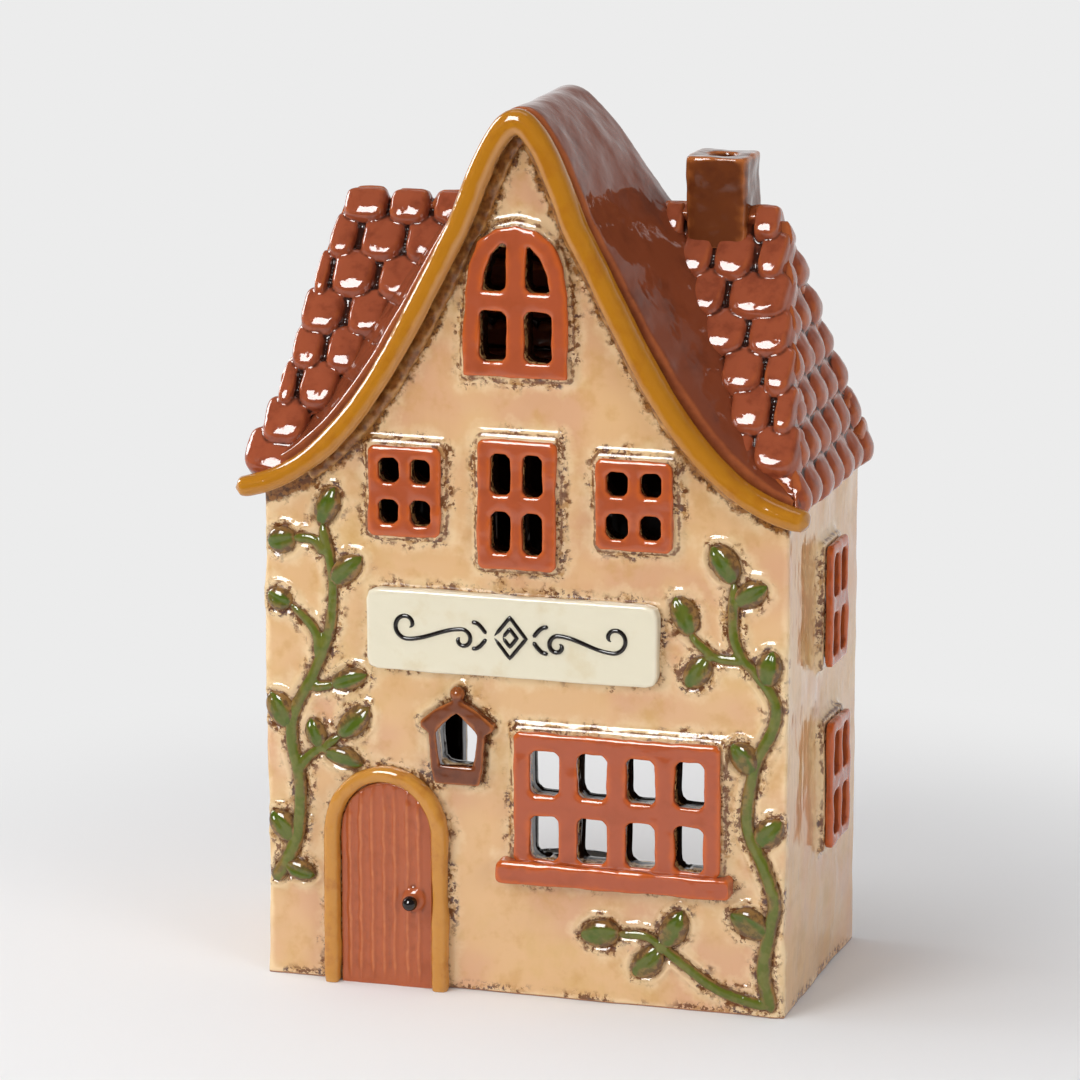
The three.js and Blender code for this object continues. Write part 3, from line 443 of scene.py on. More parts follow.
class Kiln:
    """Builds the nodes of one material or of the room."""

    def __init__(self, holder: bpy.types.Material | bpy.types.World) -> None:
        """Start without nodes."""
        self.holder = holder
        holder.use_nodes = True
        self.tree = holder.node_tree
        self.tree.nodes.clear()

    def node(self, kind: str, settings: dict[str, Any], *values: Any, output: str = "",
             **named: Any) -> Shade:
        """Add one node, with its settings first and then what its sockets take.

        Args:
            kind: the node's type.
            settings: the node's own settings.
            values: numbers, colours or shades for its sockets in their order.
            output: the output socket that is wanted, where it isn't the first.
            named: numbers, colours or shades for sockets by name, with _ for a space.

        Returns:
            The output.
        """
        node = self.tree.nodes.new(kind)
        for name, value in settings.items():
            setattr(node, name, value)
        for socket, value in zip([socket for socket in node.inputs if socket.enabled], values):
            self.feed(socket, value)
        for name, value in named.items():
            self.feed(node.inputs[name.replace("_", " ")], value)
        return Shade(self, next(s for s in node.outputs if s.enabled and output in ("", s.name)))

    def feed(self, socket: bpy.types.NodeSocket, value: Any) -> None:
        """Link a shade to a socket, or set its value."""
        if isinstance(value, Shade):
            self.tree.links.new(value.socket, socket)
        else:
            socket.default_value = value

    def mix(self, factor: Any, first: Any, second: Any) -> Shade:
        """Mix two colours, each a shade or a colour of 0 to 255."""
        colours = [c if isinstance(c, Shade) else linear(c) for c in (first, second)]
        settings = {"data_type": "RGBA", "blend_type": "MIX", "clamp_factor": True}
        return self.node("ShaderNodeMix", settings, factor, *colours)

    def coats(self, colour: Any, *coats: tuple[Shade, Any]) -> Shade:
        """Lay coats over a colour one by one, each a mask and the colour that it lets through."""
        for mask, tone in coats:
            colour = self.mix(mask, colour, tone)
        return colour

    def axis(self, vector: Shade, name: str) -> Shade:
        """Take X, Y or Z out of a vector."""
        return self.node("ShaderNodeSeparateXYZ", {}, vector, output=name)

    def ray(self, name: str) -> Shade:
        """Say whether the light's path is of a kind."""
        return self.node("ShaderNodeLightPath", {}, output=f"Is {name} Ray")

    def place(self, stretch: Sequence[float] = (1, 1, 1)) -> Shade:
        """Give the place on the object in millimetres, pressed together along its axes."""
        where = self.node("ShaderNodeTexCoord", {}, output="Object")
        scale = tuple(s / MM for s in stretch)
        return self.node("ShaderNodeVectorMath", {"operation": "MULTIPLY"}, where, scale)

    def noise(self, size: float, detail: float = 2, rough: float = 0.5, shift: float = 0,
              stretch: Sequence[float] = (1, 1, 1)) -> Shade:
        """Give cloudy noise about 0.5.

        Args:
            size: the size of its lumps in millimetres.
            detail: how many finer layers it has.
            rough: how strong the finer layers are.
            shift: moves the pattern, so that two of them differ.
            stretch: presses it together along the axes.

        Returns:
            The noise.
        """
        place = self.place(stretch)
        if shift:
            place = self.node("ShaderNodeVectorMath", {"operation": "ADD"}, place, (shift, shift, shift))
        return self.node("ShaderNodeTexNoise", {}, Vector=place, Scale=1 / size, Detail=detail,
                         Roughness=rough)

    def marked(self, name: str) -> Shade:
        """Read what was marked on the mesh."""
        return self.node("ShaderNodeAttribute", {"attribute_name": name}, output="Fac")

    def frayed(self, name: str, amount: float, *grain: float) -> Shade:
        """Read what was marked, with noise of an amount in it, so that its edges fray."""
        return self.marked(name) + (self.noise(*grain) - 0.5) * amount

    def bump(self, height: Shade, distance: float) -> Shade:
        """Turn a height of 0 to 1 into a normal, with its distance in millimetres."""
        return self.node("ShaderNodeBump", {}, Strength=1.0, Distance=distance * MM, Height=height)

    def fire(self, shader: Shade) -> bpy.types.Material | bpy.types.World:
        """Put a shader on what is built, and return that."""
        kind = "World" if isinstance(self.holder, bpy.types.World) else "Material"
        self.feed(self.tree.nodes.new(f"ShaderNodeOutput{kind}").inputs["Surface"], shader)
        return self.holder


@dataclass(frozen=True)
class Glaze:
    """A glossy glaze: thin and light on the crests, thick and dark in the pits, cloudy between.

    Attributes:
        slot: the record's material slot; not used.
        core: the glaze at its plain thickness.
        thin: the glaze on crests and edges.
        pooled: the glaze in pits and joints.
        cloud: the tone that it clouds to.
        cloud_size: the size of the clouds in millimetres.
        cloud_share: how much of the surface is clouded.
        speck: the tone of the fine specks.
        specks: how thick the specks lie.
        pit_from: the relief at which pooling begins, 0.5 being flat.
        crest_from: the relief at which thinning begins.
        gloss: the roughness.
        wave: the height of the glaze's waves in millimetres.
        wave_size: the size of the waves in millimetres.
    """
    slot: str
    core: Colour
    thin: Colour
    pooled: Colour
    cloud: Colour
    cloud_size: float = 9.0
    cloud_share: float = 0.5
    speck: Colour = (70, 38, 24)
    specks: float = 0.2
    pit_from: float = 0.44
    crest_from: float = 0.56
    gloss: float = 0.07
    wave: float = 0.05
    wave_size: float = 3.0

    def tone(self, kiln: Kiln) -> Shade:
        """Build the glaze's colour from its clouds, its thickness and its specks."""
        relief = kiln.frayed("relief", 0.12, 1.6, 3)
        clouds = kiln.noise(self.cloud_size, 4, 0.6).ramp(0.62 - self.cloud_share * 0.25, 0.72)
        grain = kiln.noise(0.55, 2, 0.6, 31).ramp(0.74 - self.specks * 0.1, 0.78)
        return kiln.coats(
            self.core,
            (clouds * 0.8, self.cloud),
            (relief.ramp(self.crest_from, self.crest_from + 0.22) * 0.85, self.thin),
            (relief.ramp(self.pit_from, self.pit_from - 0.2) * 0.92, self.pooled),
            (grain * 0.6 * self.specks, self.speck))

    def normal(self, kiln: Kiln) -> Shade:
        """Build the waves that the glaze runs into."""
        return kiln.bump(kiln.noise(self.wave_size, 2, 0.45, 7), self.wave * 4)

    def shader(self, kiln: Kiln) -> Shade:
        """Build the glaze: its colour under a thin glass."""
        gloss = kiln.noise(5.0, 2, 0.5, 57) * 0.04 + (self.gloss - 0.02)
        return kiln.node("ShaderNodeBsdfPrincipled", {}, Base_Color=self.tone(kiln), Roughness=gloss,
                         Normal=self.normal(kiln), IOR=1.52, Coat_Weight=0.12, Coat_Roughness=0.03,
                         Coat_IOR=1.5)


@dataclass(frozen=True)
class WallGlaze(Glaze):
    """The walls' peach glaze: cream round the reliefs, with rust and purple-brown iron specks that gather
    along their edges, painted shade in dark brown on the faces inside the house, and bare clay underneath."""
    blush: Colour = (210, 160, 126)
    stain: Colour = (200, 154, 92)
    cream: Colour = (234, 208, 164)
    rust: Colour = (172, 120, 56)
    iron: Colour = (108, 62, 32)
    plum: Colour = (86, 58, 58)
    board_tan: Colour = (146, 94, 42)
    board_brown: Colour = (80, 46, 24)
    seam: Colour = (112, 66, 36)
    jamb_tan: Colour = (188, 144, 92)
    jamb_brown: Colour = (70, 40, 24)
    # painted shade: the dark brown laid on the faces inside the house and deep in its openings
    inner: Colour = (40, 22, 13)
    clay: Colour = (178, 124, 88)
    foot: float = 0.5

    def tone(self, kiln: Kiln) -> Shade:
        """Build the walls' colour."""
        height = kiln.axis(kiln.place(), "Z")
        near = kiln.frayed("away", 6.0, 3.2, 3, 0.6, 17).ramp(2.6, 0.3)
        gathered = near.most(height.ramp(3.2, 0.6) * 0.9) * kiln.noise(9.0, 2, 0.55, 13).ramp(0.4, 0.53)
        wash = kiln.noise(2.2, 4, 0.65, 37).ramp(0.48, 0.58)
        crumbs = kiln.noise(1.5, 4, 0.68, 29).ramp(0.505, 0.55)
        specks = kiln.mix(kiln.noise(4.0, 2, 0.5, 33).ramp(0.54, 0.62), self.iron, self.plum)
        board = kiln.mix(kiln.noise(1.2, 3, 0.65, 53).ramp(0.45, 0.6), self.board_tan, self.board_brown)
        seam = kiln.frayed("away", 1.6, 1.3, 3, 0.6, 41).ramp(0.6, 0.15)
        jamb = kiln.mix(kiln.noise(1.8, 3, 0.6, 83).ramp(0.44, 0.56), self.jamb_tan, self.jamb_brown)
        return kiln.coats(
            Glaze.tone(self, kiln),
            (kiln.noise(24.0, 2, 0.5, 91).ramp(0.46, 0.68) * 0.7, self.blush),
            (kiln.noise(9.0, 4, 0.6, 97).ramp(0.5, 0.68) * 0.55, self.stain),
            (kiln.frayed("away", 8.0, 5.0, 3, 0.6, 3).ramp(4.0, 0.6) * 0.6, self.cream),
            (gathered * wash * 0.75, self.rust),
            (crumbs * (gathered * 1.5).least(1.0) * 0.92, specks),
            (kiln.frayed("eave", 6.0, 3.0, 4, 0.65, 47).ramp(4.6, 3.4) * 0.95, board),
            (seam * kiln.noise(3.0, 2, 0.5, 43).ramp(0.38, 0.5) * 0.85, self.seam),
            (kiln.marked("jamb").ramp(0.3, 0.7), jamb),
            # painted shade: dark brown on the faces that lie deeper than the outer skin
            (kiln.frayed("inside", 0.5, 1.8, 2, 0.5, 71).ramp(0.15, 0.6), self.inner),
            (height.ramp(self.foot, self.foot * 0.6), self.clay))

    def normal(self, kiln: Kiln) -> Shade:
        """Build long soft brush waves, run down the walls, over shallow dents."""
        runs = kiln.noise(2.4, 2, 0.5, 61, (1, 1, 0.1))
        dents = kiln.noise(7.0, 2, 0.5, 67)
        return kiln.bump(runs * 0.4 + dents * 0.6, self.wave * 12)


@dataclass(frozen=True)
class BoardGlaze(Glaze):
    """The bargeboard's ochre, brighter above, tan on its lower flank and gritty along its foot."""
    flank: Colour = (186, 132, 74)
    grit_tan: Colour = (160, 110, 56)
    grit_brown: Colour = (100, 60, 32)

    def tone(self, kiln: Kiln) -> Shade:
        """Build the board's colour."""
        edge = kiln.frayed("above", 0.25, 4.0, 3, 0.5, 5)
        grit = kiln.mix(kiln.noise(1.1, 3, 0.65, 15).ramp(0.42, 0.6), self.grit_tan, self.grit_brown)
        return kiln.coats(Glaze.tone(self, kiln), (edge.ramp(0.42, 0.22) * 0.8, self.flank),
                          (edge.ramp(0.14, 0.04) * 0.9, grit))


@dataclass(frozen=True)
class LeafGlaze(Glaze):
    """A leaf's or stem's green, which breaks to brown along its edges and on one hand."""
    fresh: Colour = (70, 90, 16)
    edge: Colour = (146, 106, 62)
    edge_brown: Colour = (98, 66, 48)
    rim_from: float = 0.4

    def tone(self, kiln: Kiln) -> Shade:
        """Build the green and its brown edges."""
        rim = kiln.frayed("rim", 0.6, 2.0, 3, 0.6, 9).ramp(self.rim_from, self.rim_from + 0.3)
        hand = kiln.frayed("hand", 2.0, 7.0, 2, 0.5, 27).ramp(0.6, 0.95)
        brown = kiln.mix(kiln.noise(1.6, 3, 0.6, 23).ramp(0.42, 0.58) * 0.9, self.edge, self.edge_brown)
        return kiln.coats(Glaze.tone(self, kiln),
                          (kiln.noise(3.0, 2, 0.5, 19).ramp(0.42, 0.6) * 0.8, self.fresh),
                          (rim.most(hand * 0.7) * 0.88, brown))


@dataclass(frozen=True)
class Metal:
    """Thin rolled aluminium with fine draw lines."""
    slot: str = "aluminium"
    colour: Colour = (208, 208, 212)
    dull: Colour = (178, 180, 186)

    def shader(self, kiln: Kiln) -> Shade:
        """Build the metal."""
        lines = kiln.noise(0.8, 2, 0.5, 3, (1, 1, 0.05))
        colour = kiln.mix(kiln.noise(6.0, 2) * 0.5, self.colour, self.dull)
        return kiln.node("ShaderNodeBsdfPrincipled", {}, Base_Color=colour, Metallic=1.0,
                         Roughness=lines * 0.2 + 0.2, Normal=kiln.bump(lines, 0.04))


@dataclass(frozen=True)
class Wax:
    """White candle wax, a little clouded."""
    slot: str = "wax"
    colour: Colour = (240, 234, 218)
    cloudy: Colour = (228, 218, 196)

    def shader(self, kiln: Kiln) -> Shade:
        """Build the wax."""
        cloud = kiln.noise(5.0, 3, 0.5)
        colour = kiln.mix(cloud.ramp(0.4, 0.7) * 0.6, self.colour, self.cloudy)
        return kiln.node("ShaderNodeBsdfPrincipled", {}, Base_Color=colour,
                         Roughness=cloud * 0.2 + 0.35, Normal=kiln.bump(cloud, 0.15))


@dataclass(frozen=True)
class Cotton:
    """The wick's braided cotton."""
    slot: str = "cotton"
    colour: Colour = (226, 216, 196)
    shaded: Colour = (188, 174, 148)

    def shader(self, kiln: Kiln) -> Shade:
        """Build the cotton."""
        strands = kiln.noise(0.5, 2, 0.5, 0, (1, 1, 0.5))
        colour = kiln.mix(strands.ramp(0.4, 0.6) * 0.7, self.colour, self.shaded)
        return kiln.node("ShaderNodeBsdfPrincipled", {}, Base_Color=colour, Roughness=0.85,
                         Normal=kiln.bump(strands, 0.2))


class Finish(Enum):
    """Every finish on the holder."""
    WALL = WallGlaze("wall_glaze", (218, 176, 128), (236, 206, 162), (192, 138, 84), (210, 170, 112), 14.0,
                     specks=0.1, pit_from=0.42, gloss=0.08, wave=0.028)
    FRAME = Glaze("frame_glaze", (166, 80, 48), (194, 92, 36), (96, 46, 26), (156, 74, 42), 6.0, 0.6,
                  specks=0.25, pit_from=0.47, crest_from=0.53, wave=0.03, wave_size=2.5)
    TILE = Glaze("tile_glaze", (152, 76, 48), (178, 94, 48), (30, 17, 15), (122, 56, 34), 5.0, 0.7,
                 specks=0.5, pit_from=0.46, crest_from=0.6, wave=0.04)
    ROOF = Glaze("roof_glaze", (124, 62, 38), (168, 92, 50), (70, 32, 20), (100, 50, 32), 10.0, 0.6,
                 specks=0.3, crest_from=0.62, wave=0.08, wave_size=6.0)
    CHIMNEY = Glaze("roof_glaze", (106, 54, 26), (180, 104, 52), (64, 32, 18), (90, 44, 22), 8.0, 0.6,
                    specks=0.3, crest_from=0.54, wave=0.08, wave_size=5.0)
    BOARD = BoardGlaze("bargeboard_glaze", (172, 112, 24), (186, 126, 40), (128, 76, 26), (160, 98, 20),
                       specks=0.12, wave=0.03)
    FILLET = Glaze("bargeboard_glaze", (150, 92, 38), (206, 156, 92), (70, 40, 28), (84, 46, 22), 1.5, 1.5,
                   (60, 38, 32), specks=1.0, pit_from=0.47, gloss=0.12, wave=0.04)
    DOOR = Glaze("door_glaze", (172, 88, 50), (200, 120, 70), (110, 56, 34), (160, 78, 40), 7.0,
                 specks=0.4, wave=0.03)
    ARCH = Glaze("arch_glaze", (190, 130, 52), (206, 150, 74), (130, 80, 34), (170, 106, 44), 5.0, 0.6,
                 specks=0.35, wave=0.03)
    KNOB = Glaze("knob_glaze", (22, 16, 14), (44, 28, 20), (12, 9, 8), (30, 20, 16), 3.0, 0.4,
                 specks=0.0, gloss=0.05, wave=0.01)
    SIGN = Glaze("sign_glaze", (220, 212, 188), (230, 220, 196), (196, 172, 126), (212, 198, 166),
                 speck=(150, 110, 60), specks=0.12, wave=0.03)
    LANTERN = Glaze("lantern_glaze", (110, 56, 28), (172, 98, 46), (50, 26, 16), (88, 44, 22), 4.0, 0.6,
                    specks=0.4, crest_from=0.55, wave=0.02)
    STEM = LeafGlaze("stem_glaze", (106, 108, 44), (128, 122, 66), (86, 58, 36), (96, 92, 32), 4.0, 0.7,
                     (108, 72, 44), specks=0.5, wave=0.03, wave_size=2.0, fresh=(86, 96, 22), rim_from=0.34)
    LEAF = LeafGlaze("leaf_glaze", (92, 100, 36), (118, 114, 58), (80, 60, 36), (86, 90, 28), 3.0, 0.6,
                     (112, 76, 44), specks=0.4, wave=0.03, wave_size=2.0)
    ALUMINIUM = Metal()
    WAX = Wax()
    COTTON = Cotton()

    def material(self) -> bpy.types.Material:
        """Return the finish's material, made on first use."""
        name = f"fired_{self.name.lower()}"
        if name not in bpy.data.materials:
            kiln = Kiln(bpy.data.materials.new(name))
            kiln.fire(self.value.shader(kiln))
        return bpy.data.materials[name]


def dress(piece: Piece, finish: Finish, replaced: Iterable[str] = (), body: str = "root",
          relief: tuple[int, float] | None = None) -> Piece:
    """Give a new piece its finish and its place in the frame.

    Args:
        piece: the finished piece.
        finish: what it is glazed or made with.
        replaced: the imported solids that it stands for.
        body: the body that it rides on.
        relief: how wide and how high the relief is that the glaze thins and pools on.

    Returns:
        The piece.
    """
    if relief:
        mark_relief(piece, *relief)
    piece.data.shade_smooth()
    piece.data.materials.clear()
    piece.data.materials.append(finish.material())
    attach(piece, body)
    if replaced:
        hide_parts(*replaced)
    piece.data.calc_loop_triangles()
    log.info("%s: %d triangles", piece.name, len(piece.data.loop_triangles))
    return piece


# The gable's line

@dataclass(frozen=True)
class GableLine:
    """The outer edge of the swept gable: a round crown and a long sweep that meet at the flex."""
    peak: Pair = (0, 209.8)
    crown_reach: float = 8.3
    flex: Pair = (16.7, 182.5)
    flex_slope: float = 1.88
    flex_pull_up: float = 5.5
    flex_pull_down: float = 27.9
    tip: Pair = (69.0, 120.8)
    tip_slope: float = 0.12
    tip_pull: float = 26.7
    crown_steps: int = 4
    sweep_steps: int = 8
    flare: float = 0.32
    front_y: float = -40.6

    @property
    def steps(self) -> int:
        """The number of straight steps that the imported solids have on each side."""
        return self.crown_steps + self.sweep_steps

    def at(self, step: np.ndarray) -> np.ndarray:
        """Give the right half's points at steps from 0 at the peak to the last at the tip."""
        steep = np.array([1, -self.flex_slope]) / math.hypot(1, self.flex_slope)
        peak, flex, tip = (np.array(p, float) for p in (self.peak, self.flex, self.tip))
        crown = [peak, peak + (self.crown_reach, 0), flex - steep * self.flex_pull_up, flex]
        sweep = [flex, flex + steep * self.flex_pull_down,
                 tip - np.array([1, -self.tip_slope]) * self.tip_pull, tip]
        step = np.asarray(step, float)[..., None]
        first = self.bezier(crown, np.clip(step / self.crown_steps, 0, 1))
        second = self.bezier(sweep, np.clip((step - self.crown_steps) / self.sweep_steps, 0, 1))
        return np.where(step < self.crown_steps, first, second)

    @staticmethod
    def bezier(knots: Sequence[np.ndarray], t: np.ndarray) -> np.ndarray:
        """Give the points of one cubic curve."""
        a, b, c, d = knots
        return (1 - t) ** 3 * a + 3 * (1 - t) ** 2 * t * b + 3 * (1 - t) * t ** 2 * c + t ** 3 * d

    def within(self, step: np.ndarray, offset: np.ndarray) -> tuple[np.ndarray, np.ndarray]:
        """Give the right half's X and Z at distances in from the edge, one row of them for each step."""
        ahead = self.at(np.minimum(step + 0.02, self.steps)) - self.at(np.maximum(step - 0.02, 0))
        ahead /= np.linalg.norm(ahead, axis=-1)[..., None]
        edge = self.at(step)
        return (edge[:, None, 0] + ahead[:, None, 1] * offset, edge[:, None, 1] - ahead[:, None, 0] * offset)

    @staticmethod
    def over(last: float, count: int) -> tuple[np.ndarray, np.ndarray]:
        """Walk from a step on the left over the peak to the same on the right.

        Args:
            last: the step that the walk starts and ends at.
            count: the number of points on each half.

        Returns:
            Each point's step, and as a column its side.
        """
        steps = np.concatenate([-np.linspace(last, 0, count), np.linspace(0, last, count)[1:]])
        return np.abs(steps), np.where(steps < 0, -1.0, 1.0)[:, None]

    def spread(self, z: np.ndarray, y: np.ndarray) -> np.ndarray:
        """Say how far the edge has spread outward at a height and a depth."""
        return self.flare * (self.peak[1] - z) * (y - self.front_y) / -self.front_y

    def rounded(self, points: np.ndarray) -> np.ndarray:
        """Move points that follow the solids' straight steps onto the true curve."""
        sign = np.where(points[:, 0] < 0, -1, 1)
        x = np.abs(points[:, 0]) - self.spread(points[:, 2], points[:, 1])
        place = np.column_stack([x, points[:, 2]])
        corners = self.at(np.arange(self.steps + 1))
        best = np.full(len(points), np.inf)
        shift = np.zeros_like(place)
        for i in range(self.steps):
            chord = corners[i + 1] - corners[i]
            share = np.clip(((place - corners[i]) @ chord) / (chord @ chord), 0, 1)
            on_chord = corners[i] + share[:, None] * chord
            gap = np.linalg.norm(place - on_chord, axis=1)
            nearer = gap < best
            best[nearer] = gap[nearer]
            shift[nearer] = (self.at(i + share) - on_chord)[nearer]
        moved = points.copy()
        moved[:, 0] += sign * shift[:, 0]
        moved[:, 2] += shift[:, 1]
        return moved


# Sprigs on the walls

@dataclass(frozen=True)
class AtticArch:
    """The attic window's arch, which is fuller at its shoulders than an ellipse."""
    height: float = 23.0
    power: float = 2.7
    most: float = 1.3
    still: float = 3.5
    fade: float = 5.0

    def fuller(self, points: np.ndarray) -> np.ndarray:
        """Push points of the frame, or of the wall round it, outward at the arch's shoulders."""
        low, high = (np.array(corner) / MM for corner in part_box("attic_window"))
        middle, half = (low[0] + high[0]) / 2, (high[0] - low[0]) / 2
        rise = (points[:, 2] - high[2] + self.height) / self.height
        level = np.clip(rise, 0, 0.96)
        edge = np.sqrt(1 - level ** 2)
        share = np.minimum((1 - level ** self.power) ** (1 / self.power) / edge, self.most) - 1
        across = points[:, 0] - middle
        gap = np.abs(across)
        start = eased(np.clip(gap / self.still, 0, 1))
        beyond = np.clip(1 - (gap - half * edge) / self.fade, 0, 1)
        over = np.clip(1 - (rise - 1) * self.height / self.fade, 0, 1) * (points[:, 1] < BEHIND_FRONT_WALL)
        moved = points.copy()
        moved[:, 0] += np.sign(across) * np.minimum(gap, half * edge) * share * start * beyond * over
        return moved


@dataclass
class Windows:
    """The pierced frames, pressed from soft clay, and the shop window's sill."""
    front: tuple[str, ...] = ("attic_window", "upper_left_window", "upper_middle_window",
                              "upper_right_window", "shop_window")
    sides: tuple[str, ...] = ("right_lower_window", "right_upper_window", "left_lower_window",
                              "left_upper_window")
    clay: Clay = Clay(0.34, 5, ((9, 0.7), (3.5, 0.3)))
    sill_clay: Clay = Clay(0.34, 16, ((9, 1.0), (3.5, 0.3)))
    edge_rounds: int = 28
    sill_lip: float = 0.7
    relief: tuple[int, float] = (14, 0.3)
    pieces: list[Piece] = field(default_factory=list)
    sill: Piece | None = None

    def build(self) -> None:
        """Make every frame and the sill."""
        for node in self.front + self.sides:
            frame_piece = copy_of(node, f"{node}_frame")
            soften(frame_piece, self.clay)
            flat = node in self.front
            smooth(frame_piece, self.edge_rounds, use_x=not flat, use_y=flat, use_z=False)
            if node == "attic_window":
                set_points(frame_piece, AtticArch().fuller(points_of(frame_piece)))
                smooth(frame_piece, 2)
            self.pieces.append(dress(frame_piece, Finish.FRAME, [node], relief=self.relief))
        self.sill = copy_of("shop_window_sill", "window_sill")
        soften(self.sill, self.sill_clay)
        points = points_of(self.sill)
        points[:, 2] += self.sill_lip * np.clip((points[:, 2] - points[:, 2].max() + 2) / 2, 0, 1)
        set_points(self.sill, points)
        dress(self.sill, Finish.FRAME, ["shop_window_sill"], relief=self.relief)


@dataclass
class Sign:
    """The blank sign with a scroll-and-lozenge flourish drawn on it in black glaze."""
    x: float = -2.0
    z: float = 86.9
    face: float = -37.5
    clay: Clay = Clay(0.45, 8, ((22, 0.7), (7, 0.25)))
    line: float = 0.55
    reach: float = 25.0
    span: float = 13.5
    inner_curl: float = 0.72
    lozenges: Pair = (3.9, 1.7)
    board: Piece | None = None

    def scroll(self, hand: int) -> np.ndarray:
        """Draw one scroll, left or right of the middle: an S that curls in at both its ends."""
        turn = np.linspace(0, 1.75 * math.pi, 40)
        radius = 0.7 + 2.6 * (1 - turn / turn[-1]) ** 0.75
        outer = np.column_stack([self.reach + radius * np.sin(turn), 1.4 - radius * np.cos(turn)])
        inner = np.column_stack([self.reach - self.span - self.inner_curl * radius * np.sin(turn),
                                 -1.1 + self.inner_curl * radius * np.cos(turn)])
        sway = np.linspace(0, 1, 20)[1:-1, None]
        link = inner[0] + (outer[0] - inner[0]) * np.hstack([sway, eased(sway)])
        line = np.vstack([inner[::-1], link, outer])
        return np.column_stack([self.x + hand * line[:, 0], self.z + line[:, 1]])

    def leaflet(self, hand: int, lift: int) -> np.ndarray:
        """Draw one short curved stroke beside the lozenge."""
        turn = np.linspace(0, 1, 18)
        return np.column_stack([self.x + hand * (5.6 + 3.6 * turn),
                                self.z + lift * 2.6 * np.sin(turn * math.pi * 0.6) + lift * 0.5])

    def lozenge(self, half: float) -> np.ndarray:
        """Draw a lozenge about the sign's middle."""
        corners = np.array([[-half, 0], [0, half * 1.25], [half, 0], [0, -half * 1.25], [-half, 0]])
        steps = np.linspace(0, 4, 41)
        return np.column_stack([self.x + np.interp(steps, range(5), corners[:, 0]),
                                self.z + np.interp(steps, range(5), corners[:, 1])])

    def stroke(self, line: np.ndarray, radius: float) -> Piece:
        """Lay one stroke of glaze on the sign, thinner towards its ends."""
        share = np.linspace(0, 1, len(line))
        radii = radius * np.clip(np.minimum(share, 1 - share) * 12 + 0.15, 0, 1)
        path = np.column_stack([line[:, 0], np.full(len(line), self.face), line[:, 1]])
        return tube("stroke", path, radii, 10)

    def build(self) -> None:
        """Make the board and its flourish."""
        self.board = copy_of("sign_plaque", "sign_board")
        soften(self.board, self.clay)
        dress(self.board, Finish.SIGN, ["sign_plaque"], relief=(16, 0.6))
        strokes = [self.stroke(self.scroll(hand), self.line) for hand in (-1, 1)]
        strokes += [self.stroke(self.lozenge(half), self.line * 0.85) for half in self.lozenges]
        strokes += [self.stroke(self.leaflet(hand, lift), self.line) for hand in (-1, 1) for lift in (-1, 1)]
        dress(fused("sign_flourish", strokes), Finish.KNOB, relief=(2, 0.5))


@dataclass
class Lantern:
    """The small pierced lantern with a ball on top."""
    x: float = -15.3
    z: float = 61.0
    clay: Clay = Clay(0.3, 4, ((5, 0.4), (2, 0.12)))
    across: tuple[tuple[float, ...], tuple[float, ...]] = ((0, 3.3, 6.2, 9), (0, 4.5, 6.5, 9))
    up: tuple[tuple[float, ...], tuple[float, ...]] = ((0, 5.3, 8, 11), (0, 5.9, 8.2, 11))
    piece: Piece | None = None

    def opened(self, points: np.ndarray) -> np.ndarray:
        """Push the sides of the opening apart, in points of the lantern or of the wall round it."""
        across, up = points[:, 0] - self.x, points[:, 2] - self.z
        share = np.clip((self.up[0][-1] - np.abs(up)) / 5, 0, 1) * (points[:, 1] < BEHIND_FRONT_WALL)
        moved = points.copy()
        moved[:, 0] += share * drawn_apart(across, *self.across)
        moved[:, 2] += drawn_apart(up, *self.up) * (np.abs(across) < self.across[0][-1])
        return moved

    def build(self) -> None:
        """Make the lantern."""
        self.piece = copy_of("lantern_frame", "lantern")
        soften(self.piece, self.clay)
        smooth(self.piece, 12, use_x=False, use_y=True, use_z=False)
        set_points(self.piece, self.opened(points_of(self.piece)))
        dress(self.piece, Finish.LANTERN, ["lantern_frame"], relief=(12, 0.3))


